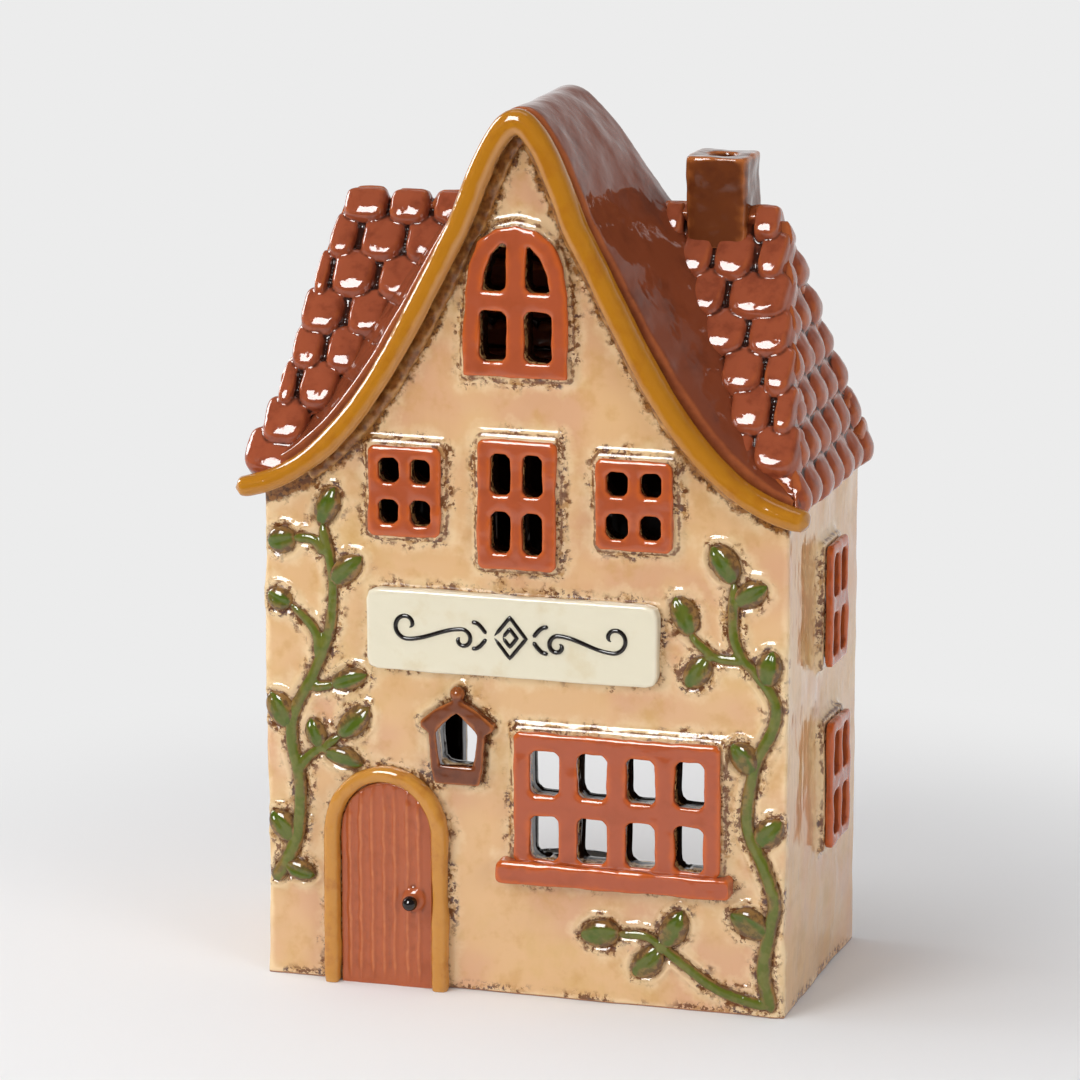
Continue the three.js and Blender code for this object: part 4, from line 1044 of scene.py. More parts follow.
@dataclass
class Door:
    """The planked door, its arch and its knob."""
    x: float = -33.0
    half: float = 11.4
    spring: float = 36.9
    crown: float = 12.7
    band: float = 3.8
    proud: float = 4.0
    sunk: float = 0.4
    face_y: float = -35.6
    ridges: tuple[float, ...] = (-41.9, -39.2, -36.4, -33.5, -30.9, -27.7, -25.0)
    ridge_radius: float = 0.62
    knob: Pair = (-26.2, 21.5)
    ball: float = 1.82
    arch_clay: Clay = Clay(0.4, 3, ((10, 0.7), (3, 0.22)))
    panel_clay: Clay = Clay(0.32, 2, ((8, 0.3), (2.5, 0.12)))
    arch: Piece | None = None

    def arch_line(self, out: float) -> np.ndarray:
        """Give the arch's line in X and Z, moved out from the door by a distance."""
        half, crown = self.half + out, self.crown + out
        rise = np.linspace(0, self.spring, 14)[:-1]
        turn = np.linspace(math.pi, 0, 56)
        left = np.column_stack([np.full(len(rise), self.x - half), rise])
        over = np.column_stack([self.x + half * np.cos(turn), self.spring + crown * np.sin(turn)])
        right = np.column_stack([np.full(len(rise), self.x + half), rise[::-1]])
        return np.vstack([left, over, right])

    def build_arch(self) -> None:
        """Bend a rounded band round the door."""
        line = self.arch_line(self.band / 2)
        ahead = np.gradient(line, axis=0)
        ahead /= np.linalg.norm(ahead, axis=1)[:, None]
        out = np.column_stack([-ahead[:, 1], ahead[:, 0]])
        section = bean(20, 2.8)
        deep = (self.proud + self.sunk) / 2
        x, z = np.moveaxis(line[:, None] + section[None, :, :1] * out[:, None] * self.band / 2, -1, 0)
        y = np.broadcast_to(WALL_Y + self.sunk - deep + section[None, :, 1] * deep, x.shape)
        self.arch = loft("door_arch_band", np.stack([x, y, z], -1))
        soften(self.arch, self.arch_clay)
        dress(self.arch, Finish.ARCH, ["door_arch"], relief=(14, 0.6))

    def build_panel(self) -> None:
        """Make the panel, with a raised line on each joint of its planks and a boss for the knob."""
        parts = [plate("door_boards", self.arch_line(-0.2), self.face_y, WALL_Y + 0.6)]
        chance = random.Random(5)
        for x in self.ridges:
            top = self.spring + self.crown * math.sqrt(max(0, 1 - ((x - self.x) / self.half) ** 2)) - 1.0
            z = np.linspace(1.2, top, 16)
            sway = np.array([chance.uniform(-0.16, 0.16) for _ in z])
            radii = np.full(len(z), self.ridge_radius)
            radii[[0, -1]] = 0.3
            ridge = np.column_stack([x + sway, np.full(len(z), self.face_y + 0.05), z])
            parts.append(tube("ridge", ridge, radii, 10))
        x, z = self.knob
        parts.append(turned("boss", [(0.01, -1), (2.9, -1), (2.7, 0.6), (1.9, 1.1), (0.01, 1.15)],
                            (x, self.face_y, z), forward=True, sides=24))
        panel = fused("door_boards", parts)
        soften(panel, self.panel_clay)
        dress(panel, Finish.DOOR, ["door_panel"], relief=(10, 0.35))

    def build_knob(self) -> None:
        """Turn the knob: a ball on a short neck."""
        x, z = self.knob
        ball = [(self.ball * math.cos(turn), 2.35 + self.ball * math.sin(turn))
                for turn in np.linspace(-1.0, 1.5, 14)]
        profile = [(0.01, 0), (0.95, 0.0), (0.9, 0.7), *ball, (0.01, 4.16)]
        knob = turned("knob", profile, (x, self.face_y - 1.0, z), forward=True, sides=32)
        work(knob, "SUBSURF", levels=1)
        dress(knob, Finish.KNOB, ["door_knob"], relief=(4, 0.4))


@dataclass
class Ivy:
    """One spray of ivy: a stem with its branches, and eleven leaves. Points are measured as a distance in
    from the wall's edge and a height, and a leaf as its base, its tip and its width."""
    name: str
    side: int
    stems: Sequence[Sequence[Pair]]
    branches: Sequence[Sequence[Pair]]
    leaves: Sequence[tuple[float, float, float, float, float]]
    clay: Clay = Clay(0.32, 5, ((9, 0.4),))
    stem_radius: float = 1.72
    branch_radius: float = 1.42
    flat: float = 0.72
    leaf_height: float = 2.2
    pattern_scale: float = 10
    pieces: list[Piece] = field(default_factory=list)

    def on_wall(self, inward: float, z: float, y: float = WALL_Y) -> tuple[float, float, float]:
        """Turn a distance in from the wall's edge and a height into a point."""
        return self.side * (WALL_X - inward), y, z

    def rod(self, route: Sequence[Pair], radius: float) -> Piece:
        """Run one rod of clay along a route, round at its ends and a little thinner at its tip."""
        line = catmull([self.on_wall(inward, z, WALL_Y - 0.45) for inward, z in route], 8)
        share = np.linspace(0, 1, len(line))
        end = np.clip(np.minimum(share, 1 - share) * len(line) / 2.5, 0.02, 1)
        radii = radius * (1.08 - 0.3 * share) * np.sqrt(1 - (1 - end) ** 2 + 1e-4)
        return tube(f"{self.name}_rod", line, radii)

    def petioles(self) -> list[Piece]:
        """Run a short rod from the stem into the foot of every leaf."""
        lines = np.vstack([catmull(route, 8) for route in (*self.stems, *self.branches)])
        rods = []
        for leaf in self.leaves:
            base, tip = np.array(leaf[:2]), np.array(leaf[2:4])
            start = lines[np.linalg.norm(lines - base, axis=1).argmin()]
            end = base + (tip - base) * 0.3
            middle = (start + end) / 2
            rods.append(self.rod([start, middle + (base - middle) * 0.5, end], self.branch_radius * 0.95))
        return rods

    @classmethod
    def pressed_leaf(cls) -> Piece:
        """Model the leaf that all are copied from: 1 long along X, 1 wide along Z, its back flat.

        It is made larger by the pattern's scale, so that its fine points stay apart when it is sewn up.
        """
        along = 0.5 - 0.5 * np.cos(np.linspace(0, math.pi, 21))
        half = 0.56 * (1 - np.abs(2 * along - 1) ** 2.1).clip(0) ** np.where(along > 0.5, 0.62, 0.5)
        turn = np.arange(28) * 2 * math.pi / 28
        across = np.cos(turn)
        crease = 0.16 * np.exp(-(across / 0.2) ** 2)
        dome = np.where(np.sin(turn) > 0, np.abs(np.sin(turn)) ** 0.7 - crease, -0.25)
        height = (half / half.max()) ** 0.6
        rings = np.stack([np.broadcast_to(along[:, None], (len(along), len(turn))),
                          -height[:, None] * dome[None], half[:, None] * across[None]], -1)
        leaf = loft("pressed_leaf", rings * cls.pattern_scale)
        x, _, z = (points_of(leaf) / cls.pattern_scale).T
        width = np.maximum(np.interp(x, along, half), 1e-3)
        mark(leaf, "hand", np.clip(0.5 + 0.5 * z / width, 0, 1))
        ends = np.maximum(0.25 - x, x - 0.9) * 3
        mark(leaf, "rim", np.clip(np.maximum(np.abs(z) / width, ends), 0, 1))
        return leaf

    def set_leaf(self, pattern: Piece, number: int) -> Piece:
        """Press a copy of the pattern onto the wall as one leaf, by its number from 1."""
        inward, z, tip_inward, tip_z, width = self.leaves[number - 1]
        chance = random.Random(number * 7 + self.side)
        base, tip = np.array(self.on_wall(inward, z)), np.array(self.on_wall(tip_inward, tip_z))
        length = np.linalg.norm(tip - base)
        ahead = (tip - base) / length
        across = np.array([-ahead[2], 0, ahead[0]])
        leaf = linked(f"{self.name}_leaf_{number}", pattern.data.copy())
        leaf.data.name = leaf.name
        unit = points_of(leaf) / self.pattern_scale
        lean = chance.uniform(-0.35, 0.35)
        lift = self.leaf_height * (0.9 + 0.2 * chance.random())
        bend = chance.uniform(-0.06, 0.06)
        start = base - ahead * 0.8
        points = (start + unit[:, :1] * (length + 0.8) * ahead
                  + (unit[:, 2:] * width + bend * width * np.sin(unit[:, :1] * math.pi)) * across)
        height = unit[:, 1] * lift * (1 + lean * unit[:, 2] * 1.4)
        points[:, 1] = WALL_Y + np.minimum(height, 0.5)
        set_points(leaf, points)
        close_up(leaf)
        work(leaf, "SUBSURF", levels=1)
        return dress(leaf, Finish.LEAF, [f"{self.name}_ivy_leaf_{number}"], relief=(6, 0.3))

    def build(self, pattern: Piece) -> None:
        """Make the stem and the leaves."""
        rods = [self.rod(route, self.stem_radius) for route in self.stems]
        rods += [self.rod(route, self.branch_radius) for route in self.branches]
        stem = fused(f"{self.name}_stem", rods + self.petioles())
        soften(stem, self.clay)
        points = points_of(stem)
        points[:, 1] = WALL_Y + (points[:, 1] - WALL_Y) * self.flat
        set_points(stem, points)
        facing = normals_of(stem)
        mark(stem, "rim", np.clip(1 + facing[:, 1], 0, 1) ** 0.5)
        mark(stem, "hand", 0.5 - 0.5 * facing[:, 0])
        self.pieces.append(dress(stem, Finish.STEM, [f"{self.name}_ivy_stem"], relief=(10, 0.35)))
        self.pieces += [self.set_leaf(pattern, n + 1) for n in range(len(self.leaves))]


LEFT_IVY = Ivy(
    "left", -1,
    stems=[[(1.6, 23), (5, 28.5), (7.7, 36), (8.3, 47), (6.4, 58), (7.2, 65), (12.3, 75), (16.2, 86),
            (16.8, 98), (14.3, 110.5)]],
    branches=[[(15, 103), (12.2, 106.3), (7.2, 106.6)], [(13.4, 78), (12.4, 84.5), (6.4, 90.6)],
              [(11.3, 70.7), (17, 71.9)], [(8, 50.5), (11, 54.5), (18.4, 59.5)]],
    leaves=[(14.3, 110.9, 17.4, 119, 5.2), (6.9, 106.5, 1, 105, 6), (17.4, 96.8, 24, 103, 5.6),
            (6, 90.9, 0.9, 93.2, 5.2), (17.2, 72, 25, 74.8, 4.8), (5.3, 61.5, 1.2, 69, 6),
            (13.4, 57.2, 11.1, 63.3, 4.6), (18.7, 60.2, 25.4, 67, 5.6), (15.2, 55.3, 23.9, 52.9, 4.6),
            (6.1, 33.8, 1.2, 40, 5.6), (5.3, 27.3, 11.9, 25, 4.6)])
RIGHT_IVY = Ivy(
    "right", 1,
    stems=[[(2.6, 1.2), (4.7, 11), (3.4, 21), (2.3, 28), (5, 36.5), (8.9, 46), (7.2, 60), (3, 69),
            (2.6, 75.5), (7.2, 82), (10.2, 85), (12.5, 91), (12.4, 103)]],
    branches=[[(9.6, 84.5), (17, 85.2), (23.2, 90.2)],
              [(3, 2.4), (15.5, 5.8), (25, 12), (32.5, 17), (40, 17.2)]],
    leaves=[(12.6, 103.4, 17.8, 111, 6), (11.5, 98.3, 4.8, 102.5, 5.4), (22.7, 90.6, 26.4, 98.6, 5.8),
            (19, 84.3, 23.6, 77.6, 5.6), (4.3, 79.8, 3.2, 87.4, 5.6), (7.9, 58.8, 12.6, 65, 6),
            (6, 41.9, 0.9, 47.4, 5.8), (4.6, 20.2, 12.7, 24.4, 6.4), (40.2, 17.4, 48.8, 16.2, 6.2),
            (28.4, 15.9, 24.3, 24, 6), (30, 14, 36, 7.6, 6)])


# Roof

@dataclass
class SweptRoof:
    """The smooth roof over the gable with the plate that closes it behind, and the bargeboard."""
    line: GableLine = GableLine()
    dents: tuple[Pair, ...] = ((18, 1.0), (7, 0.22))
    roof_clay: Clay = Clay(0.6, 1)
    faces: int = 190000
    top_height: float = 5.9
    tip_height: float = 4.9
    front: float = -40.6
    back: float = -34.6
    follow: float = 0.35
    widest: float = 68.7
    board_clay: Clay = Clay(0.5, 3, ((16, 0.6), (5, 0.2)))
    fade: float = 6.0
    board: Piece | None = None

    def build_roof(self) -> None:
        """Make the roof and its rear plate as one piece."""
        parts = [copy_of("gable_roof", "roof_part"), copy_of("rear_gable_plate", "plate_part")]
        roof = fused("swept_roof", parts)
        soften(roof, self.roof_clay)
        set_points(roof, self.line.rounded(points_of(roof)))
        smooth(roof, 10)
        dent(roof, self.dents)
        thin_out(roof, self.faces)
        dress(roof, Finish.ROOF, ["gable_roof", "rear_gable_plate"], relief=(30, 0.8))

    def build_board(self) -> None:
        """Make the bargeboard: a rounded band that thins towards its tips."""
        step, side = self.line.over(self.line.steps, 71)
        height = self.top_height + (self.tip_height - self.top_height) * (step / self.line.steps) ** 0.8
        end = np.clip((self.line.steps - step) / 0.28, 0.0, 1)
        close = np.sqrt(np.clip(1 - (1 - end) ** 2, 0.01, 1))[:, None]
        section = bean(28, 2.5)
        middle, deep = (self.front + self.back) / 2, (self.back - self.front) / 2
        x, z = self.line.within(step, (height[:, None] / 2) * (1 - section[None, :, 0] * close))
        y = np.broadcast_to(middle + section[None, :, 1] * deep * close ** 0.5, x.shape)
        x = np.minimum(x + self.follow * self.line.spread(z, y), self.widest)
        self.board = loft("bargeboard_band", np.stack([side * x, y, z], -1))
        soften(self.board, self.board_clay)
        edge = np.insert(self.line.at(np.linspace(0, self.line.steps, 300)), 1, 0, axis=1)
        gap = distances(np.abs(points_of(self.board)) * (1, 0, 1), edge)
        mark(self.board, "above", np.clip(1 - gap / self.fade, 0, 1))
        dress(self.board, Finish.BOARD, ["bargeboard"], relief=(16, 0.7))


@dataclass
class GableFillet:
    """The bead of clay that seals the gable wall under the bargeboard."""
    line: GableLine = GableLine()
    clay: Clay = Clay(0.45, 3, ((5, 0.7), (2, 0.3)))
    near: Pair = (4.6, 3.2)
    width: float = 3.4
    y: float = -33.9
    deep: float = 1.1
    short: float = 1.6

    def build(self) -> None:
        """Make the bead."""
        step, side = self.line.over(self.line.steps - self.short, 61)
        start = self.near[0] + (self.near[1] - self.near[0]) * step / self.line.steps
        section = bean(20, 2.4)
        x, z = self.line.within(step, start[:, None] + self.width * (1 + section[None, :, 0]) / 2)
        x = np.maximum(x, 0.02 * step[:, None])
        y = np.broadcast_to(self.y + section[None, :, 1] * self.deep, x.shape)
        bead = loft("gable_fillet", np.stack([side * x, y, z], -1))
        soften(bead, self.clay)
        dress(bead, Finish.FILLET, relief=(8, 0.4))


@dataclass(frozen=True)
class Laying:
    """What differs between the tiles of the long slopes and of the hips.

    Attributes:
        pitch: from one tile to the next along the eaves.
        lip: how far a tile's lower end stands over the course below.
        crown: how far in from its edge a tile is still rising.
        spare: how far a course runs past the slope's edge.
        head: how far the top course runs past the ridge.
    """
    pitch: float
    lip: float
    crown: float
    spare: float
    head: float


LONG = Laying(10.8, 2.2, 1.7, 0.9, 1.6)
HIP = Laying(10.2, 3.0, 3.3, -1.0, 0.6)


class Slope(Enum):
    """A slope of the hip roof, by the way that it runs up."""
    FRONT = (0, 1)
    BACK = (0, -1)
    RIGHT = (-1, 0)
    LEFT = (1, 0)

    @property
    def laying(self) -> Laying:
        """Say how its tiles are laid."""
        return HIP if self.value[0] else LONG


@dataclass(frozen=True)
class Plane:
    """A slope's plane: its axes along the eaves, up and out, its start on the eaves and its length."""
    along: np.ndarray
    up: np.ndarray
    out: np.ndarray
    start: np.ndarray
    length: float

    def placed(self, points: np.ndarray) -> np.ndarray:
        """Turn points measured along, up and out into points of the house."""
        return (self.start + np.outer(points[:, 0], self.along) + np.outer(points[:, 1], self.up)
                + np.outer(points[:, 2], self.out))


@dataclass
class TiledRoof:
    """The tiled slopes: every tile a clay pillow, laid in courses and sunk into the slab under it."""
    line: GableLine = GableLine()
    eaves: Pair = (65.4, 36.4)
    ridge_x: float = 51.2
    rise: float = 62.6
    courses: int = 8
    first: float = 0.2
    course: float = 9.28
    left_cuts: tuple[tuple[float, ...], ...] = (
        (-68.6, -52), (-64.8, -53.2, -43), (-62.8, -57.8, -47.4, -37), (-61.2, -52.8, -43, -33),
        (-60.2, -49, -38.5, -29), (-58.2, -53.9, -42.6, -32), (-56.3, -48.8, -37.4, -27),
        (-54.2, -42.7, -32, -21))
    right_cuts: tuple[tuple[float, ...], ...] = (
        (), (44, 53.4, 64.6), (46.4, 56.7, 62.6), (32, 42.6, 53.3, 60.8), (36.8, 48, 58.8),
        (33.2, 41.8, 57), (29.4, 37.4, 47.6, 55.2), (17, 24, 30, 45.8, 53.2))
    lower: float = 3.1
    lap: float = 3.4
    gap: float = 1.1
    foot_up: float = 1.8
    foot_in: float = 1.1
    bed: float = 1.5
    bed_size: float = 1.1
    sunk: float = 0.35
    trim: float = -0.9
    deep: float = 2.1
    dome: float = 0.25
    sag: float = 1.1
    sag_length: float = 5.0
    mitre: float = 0.45
    narrowest: float = 3.4
    shortest: float = 4.8
    chimney: Pair = (37.5, 2.5)
    chimney_reach: Pair = (5.2, 6.5)
    plate_back: float = 4.8
    hidden: float = 5.5
    hidden_behind: float = 4.0
    unsteady: tuple[float, float, float] = (2.2, 1.2, 2.0)
    top_lip: float = 0.45
    dents: tuple[Pair, ...] = ((7, 0.5), (2.5, 0.14))

    def plane(self, slope: Slope) -> Plane:
        """Give a slope's plane."""
        run_x, run_y = slope.value
        up = np.array([run_x * (self.eaves[0] - self.ridge_x), run_y * self.eaves[1], self.rise])
        length = float(np.linalg.norm(up))
        up = up / length
        along = np.array([run_y, -run_x, 0.0])
        reach = self.eaves[0] + (self.mitre if run_x else 0)
        start = np.array([-run_x * reach, -run_y * self.eaves[1], EAVES_Z])
        return Plane(along, up, np.cross(along, up), start, length)

    def pillow(self, width: float, length: float, crown: float) -> Piece:
        """Model the tile that all are copied from: a cushion that sags to its round lower end.

        Args:
            width: its width in millimetres.
            length: its length.
            crown: how far in from its edge it is still rising.

        Returns:
            The tile, its upper face about Z 0 and its lower end at Y 0.
        """
        around = bean(48, 2.9)
        around[around[:, 1] > 0] = bean(48, 5.0)[around[:, 1] > 0]
        outline = around * (width / 2, length / 2)
        rise = np.linspace(0, math.pi / 2, 8)
        sizes = [1.0, 1.0, *(1 - 2 * crown / width * (1 - np.cos(rise)))]
        levels = [-5.0, -2.4, *(-self.deep * (1 - np.sin(rise)))]
        inner = np.linspace(sizes[-1], 0.01, 8)[1:]
        levels += list(self.dome * (1 - (inner / sizes[-1]) ** 2))
        rings = []
        for size, level in zip([*sizes, *inner], levels):
            x, y = (outline * size).T
            y = y + length / 2
            sag = self.sag * np.clip((self.sag_length - y) / self.sag_length, 0, 1) ** 2
            rings.append(np.column_stack([x, y, level - sag * (level > -2.3)]))
        return loft("tile", np.array(rings))

    def covered(self, point: np.ndarray, slope: Slope) -> bool:
        """Say whether a tile at a point would be wholly under the gable's roof or the chimney."""
        x, y, z = point
        if all(abs(v - c) < reach for v, c, reach in zip((x, y), self.chimney, self.chimney_reach)):
            return True
        edge = self.line.at(np.linspace(0, self.line.steps, 200))
        deep = np.interp(-z, -edge[:, 1], edge[:, 0]) + self.line.spread(z, min(y, 0.0)) - abs(x)
        if slope is Slope.FRONT:
            return deep > self.hidden
        return slope is Slope.BACK and y < self.plate_back and deep > self.hidden_behind

    def spans(self, slope: Slope, row: int) -> list[Pair]:
        """Give where each tile of a course starts and ends along the eaves."""
        if slope is Slope.FRONT:
            return [*pairwise(self.left_cuts[row]), *pairwise(self.right_cuts[row])]
        laying = slope.laying
        foot, head = (self.eaves[1], 0.0) if laying is HIP else (self.eaves[0], self.ridge_x)
        reach = max(foot + (head - foot) * (row + 0.45) / self.courses + laying.spare, self.shortest)
        stagger = 0.5 * ((self.courses - row) % 2)
        cuts = [(i + stagger - 0.5) * laying.pitch for i in range(-8, 10)]
        return list(pairwise([-reach, *(c for c in cuts if abs(c) < reach - self.narrowest), reach]))

    def lay(self, slope: Slope, row: int, span: Pair, half: int, shape: np.ndarray,
            chance: random.Random) -> list[np.ndarray]:
        """Lay one tile by hand, a little out of line, with its bed of clay under it.

        Args:
            slope: which slope it is on.
            row: which course, from 0 at the eaves.
            span: where it starts and ends along the eaves.
            half: -1 or 1 for the left or right half of the slope alone, 0 for all of it.
            shape: the pattern's points.
            chance: the hand's unsteadiness.

        Returns:
            The points of the tile and of its bed, or nothing where it would be covered.
        """
        plane, laying = self.plane(slope), slope.laying
        top, foot = row == self.courses - 1, row == 0 and slope is Slope.FRONT
        middle = (span[0] + span[1]) / 2
        v = self.first + row * self.course + chance.uniform(-0.3, 0.3) + (self.foot_up if foot else 0.0)
        centre = plane.start + plane.along * middle + plane.up * (v + self.course / 2)
        if self.covered(centre, slope) or centre[0] * half < -4:
            return []
        width = (span[1] - span[0] - self.gap) / LONG.pitch * chance.uniform(0.97, 1.02)
        length = (plane.length - v + laying.head) / (self.course + self.lap) if top else 1.0
        turn, tip, roll = (math.radians(chance.uniform(-most, most)) for most in self.unsteady)
        tilt = math.atan2(laying.lip * (self.top_lip if top else 1.0), self.course) + tip
        spin = Matrix.Rotation(turn, 3, "Z") @ Matrix.Rotation(-tilt, 3, "X") @ Matrix.Rotation(roll, 3, "Y")
        lift = self.lower + chance.uniform(-0.2, 0.3) - (self.foot_in if foot else 0.0)
        tile = (shape * (width, length, 1)) @ np.array(spin).T + (middle, v, lift)
        tile[:, 0] += chance.uniform(-0.25, 0.25)
        tile = plane.placed(tile)
        if top or foot:
            return [tile]
        heart = tile.mean(axis=0)
        return [tile, heart + (tile - heart) * self.bed_size - self.bed * plane.out]

    def build_slope(self, slope: Slope, node: str, name: str, grain: float, half: int = 0) -> None:
        """Make one packed slope's tiles.

        Args:
            slope: which slope it is on.
            node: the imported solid.
            name: the new piece's name.
            grain: the grain of its skin.
            half: -1 or 1 for the left or right half alone, 0 for all of it.
        """
        plane = self.plane(slope)
        slab = copy_of(node, f"{name}_slab")
        cut_off(slab, plane.start - self.sunk * plane.out, plane.out)
        pattern = self.pillow(LONG.pitch, self.course + self.lap, slope.laying.crown)
        shape = points_of(pattern)
        chance = random.Random(len(name) * 13 + sum(map(ord, name)))
        parts = [slab]
        for row in range(self.courses):
            for span in self.spans(slope, row):
                for points in self.lay(slope, row, span, half, shape, chance):
                    parts.append(linked("tile_copy", pattern.data.copy()))
                    set_points(parts[-1], points)
        bpy.data.objects.remove(pattern)
        piece = fused(name, parts)
        soften(piece, Clay(grain, 3, self.dents))
        if slope.laying is HIP:
            for other in (Slope.FRONT, Slope.BACK):
                side = self.plane(other)
                cut_off(piece, side.start + self.trim * side.out, side.out)
        thin_out(piece, MOST_FACES)
        dress(piece, Finish.TILE, [node], relief=(20, 0.42))

    def build(self) -> None:
        """Make all five."""
        self.build_slope(Slope.FRONT, "front_roof_left", "front_tiles_left", 0.35, -1)
        self.build_slope(Slope.FRONT, "front_roof_right", "front_tiles_right", 0.35, 1)
        self.build_slope(Slope.RIGHT, "right_hip_roof", "right_hip_tiles", 0.45)
        self.build_slope(Slope.LEFT, "left_hip_roof", "left_hip_tiles", 0.45)
        self.build_slope(Slope.BACK, "back_roof", "back_tiles", 0.6)


@dataclass
class Chimney:
    """The chimney, which leans a little forward."""
    foot: float = 178.0
    lean: float = 0.03
    clay: Clay = Clay(0.5, 8, ((9, 0.9), (4, 0.3)))

    def build(self) -> None:
        """Make the chimney."""
        stack = copy_of("chimney", "chimney_stack")
        soften(stack, self.clay)
        points = points_of(stack)
        points[:, 1] -= self.lean * np.maximum(points[:, 2] - self.foot, 0)
        set_points(stack, points)
        dress(stack, Finish.CHIMNEY, ["chimney"], relief=(8, 0.3))


# Walls

@dataclass
class Walls:
    """The four walls and the floor, joined with slip, smoothed by hand and glazed."""
    parts: tuple[str, ...] = ("front_wall", "left_wall", "right_wall", "back_wall", "floor_slab")
    clay: Clay = Clay(0.7, 3, ((26, 1.5), (9, 0.45)))
    frame_rim: float = 1.3
    board_rim: float = 2.6
    ring: float = 0.6
    ring_place: float = 1.25
    splay: float = 0.7
    jamb_margin: float = 1.2
    jamb_reach: float = 9.0
    lantern_half: tuple[float, float, float] = (4.6, 99, 6.2)
    attic_rise: float = 21.5
    far: float = 12.0
    # painted shade inside the house: how deep under the outer faces it starts, and how far it runs to full
    # dark
    skin: float = 0.8
    painted_shade_run: float = 2.6
    piece: Piece | None = None

    @staticmethod
    def gaps(points: np.ndarray, pieces: Iterable[Piece], reach: float) -> np.ndarray:
        """Measure how far each point is from the nearest of some pieces, up to a reach."""
        return np.minimum(distances(points, np.vstack([points_of(piece) for piece in pieces])), reach)

    def jambs(self, points: np.ndarray) -> np.ndarray:
        """Say which points lie behind a window frame or the lantern, 1 where they do."""
        behind = np.zeros(len(points))
        for node in (*Windows.front, *Windows.sides, "lantern_frame"):
            low, high = (np.array(corner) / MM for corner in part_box(node))
            flat = 1 if node.startswith(("right", "left")) else 0
            middle, half = (low + high) / 2, (high - low) / 2 - self.jamb_margin
            if node == "lantern_frame":
                half = np.array(self.lantern_half)
            offset = points - middle
            within = ((np.abs(offset[:, 1 - flat]) < self.jamb_reach)
                      & (np.abs(offset[:, flat]) < half[flat]) & (np.abs(offset[:, 2]) < half[2]))
            if node == "attic_window":
                spring = high[2] - AtticArch.height - middle[2]
                over = np.maximum(offset[:, 2] - spring, 0) / self.attic_rise
                within &= (offset[:, 0] / half[0]) ** 2 + over ** 2 < 1
            behind[within] = 1
        return behind

    def press(self, sprigs: Sequence[Piece]) -> None:
        """Join the slabs, splay their openings, and push up a ring of clay round each small relief."""
        self.piece = fused("glazed_walls", [copy_of(node, f"{node}_part") for node in self.parts])
        soften(self.piece, self.clay)
        points, normals = points_of(self.piece), normals_of(self.piece)
        through = np.abs(np.where(np.abs(points[:, 0]) > WALL_X - 7, normals[:, 0], normals[:, 1]))
        points -= (self.splay * self.jambs(points) * np.clip(1.4 - 2 * through, 0, 1))[:, None] * normals
        points = Lantern().opened(AtticArch().fuller(points))
        front = points[:, 1] < 0.6 + WALL_Y
        gap = self.gaps(points[front], sprigs, 4)
        points[front, 1] -= self.ring * np.exp(-((gap - self.ring_place) / 0.6) ** 2)
        set_points(self.piece, points)
        thin_out(self.piece, MOST_FACES)
        points = points_of(self.piece)
        points[:, 2] = np.maximum(points[:, 2], 0)
        set_points(self.piece, points)

    def build(self, windows: Iterable[Piece], sprigs: Sequence[Piece], others: Sequence[Piece],
              board: Piece) -> None:
        """Make the walls, and mark how near each point is to what is pressed on them.

        Args:
            windows: the window frames, which stand on raised pads.
            sprigs: the small reliefs, round which the clay is pushed up in a ring.
            others: everything else pressed onto the walls.
            board: the bargeboard over the front wall.
        """
        self.press(sprigs)
        points = points_of(self.piece)
        by_windows = np.abs(self.gaps(points, windows, self.far) - self.frame_rim)
        away = np.minimum(by_windows, self.gaps(points, [*sprigs, *others], self.far))
        eave = self.gaps(points, [board], self.far)
        mark(self.piece, "eave", eave)
        mark(self.piece, "away", np.minimum(away, np.abs(eave - self.board_rim)))
        mark(self.piece, "jamb", averaged(self.piece, self.jambs(points), 1))
        # painted shade: mark the faces inside the house and deep in its openings, to be painted dark brown
        x, y, z = points.T
        sides = np.where(z < EAVES_Z + 1, WALL_X - np.abs(x), 99)
        deep = np.minimum(sides, -WALL_Y - np.abs(y))
        mark(self.piece, "inside", eased(np.clip((deep - self.skin) / self.painted_shade_run, 0, 1)))
        dress(self.piece, Finish.WALL, self.parts, relief=(12, 0.8))


# Candle

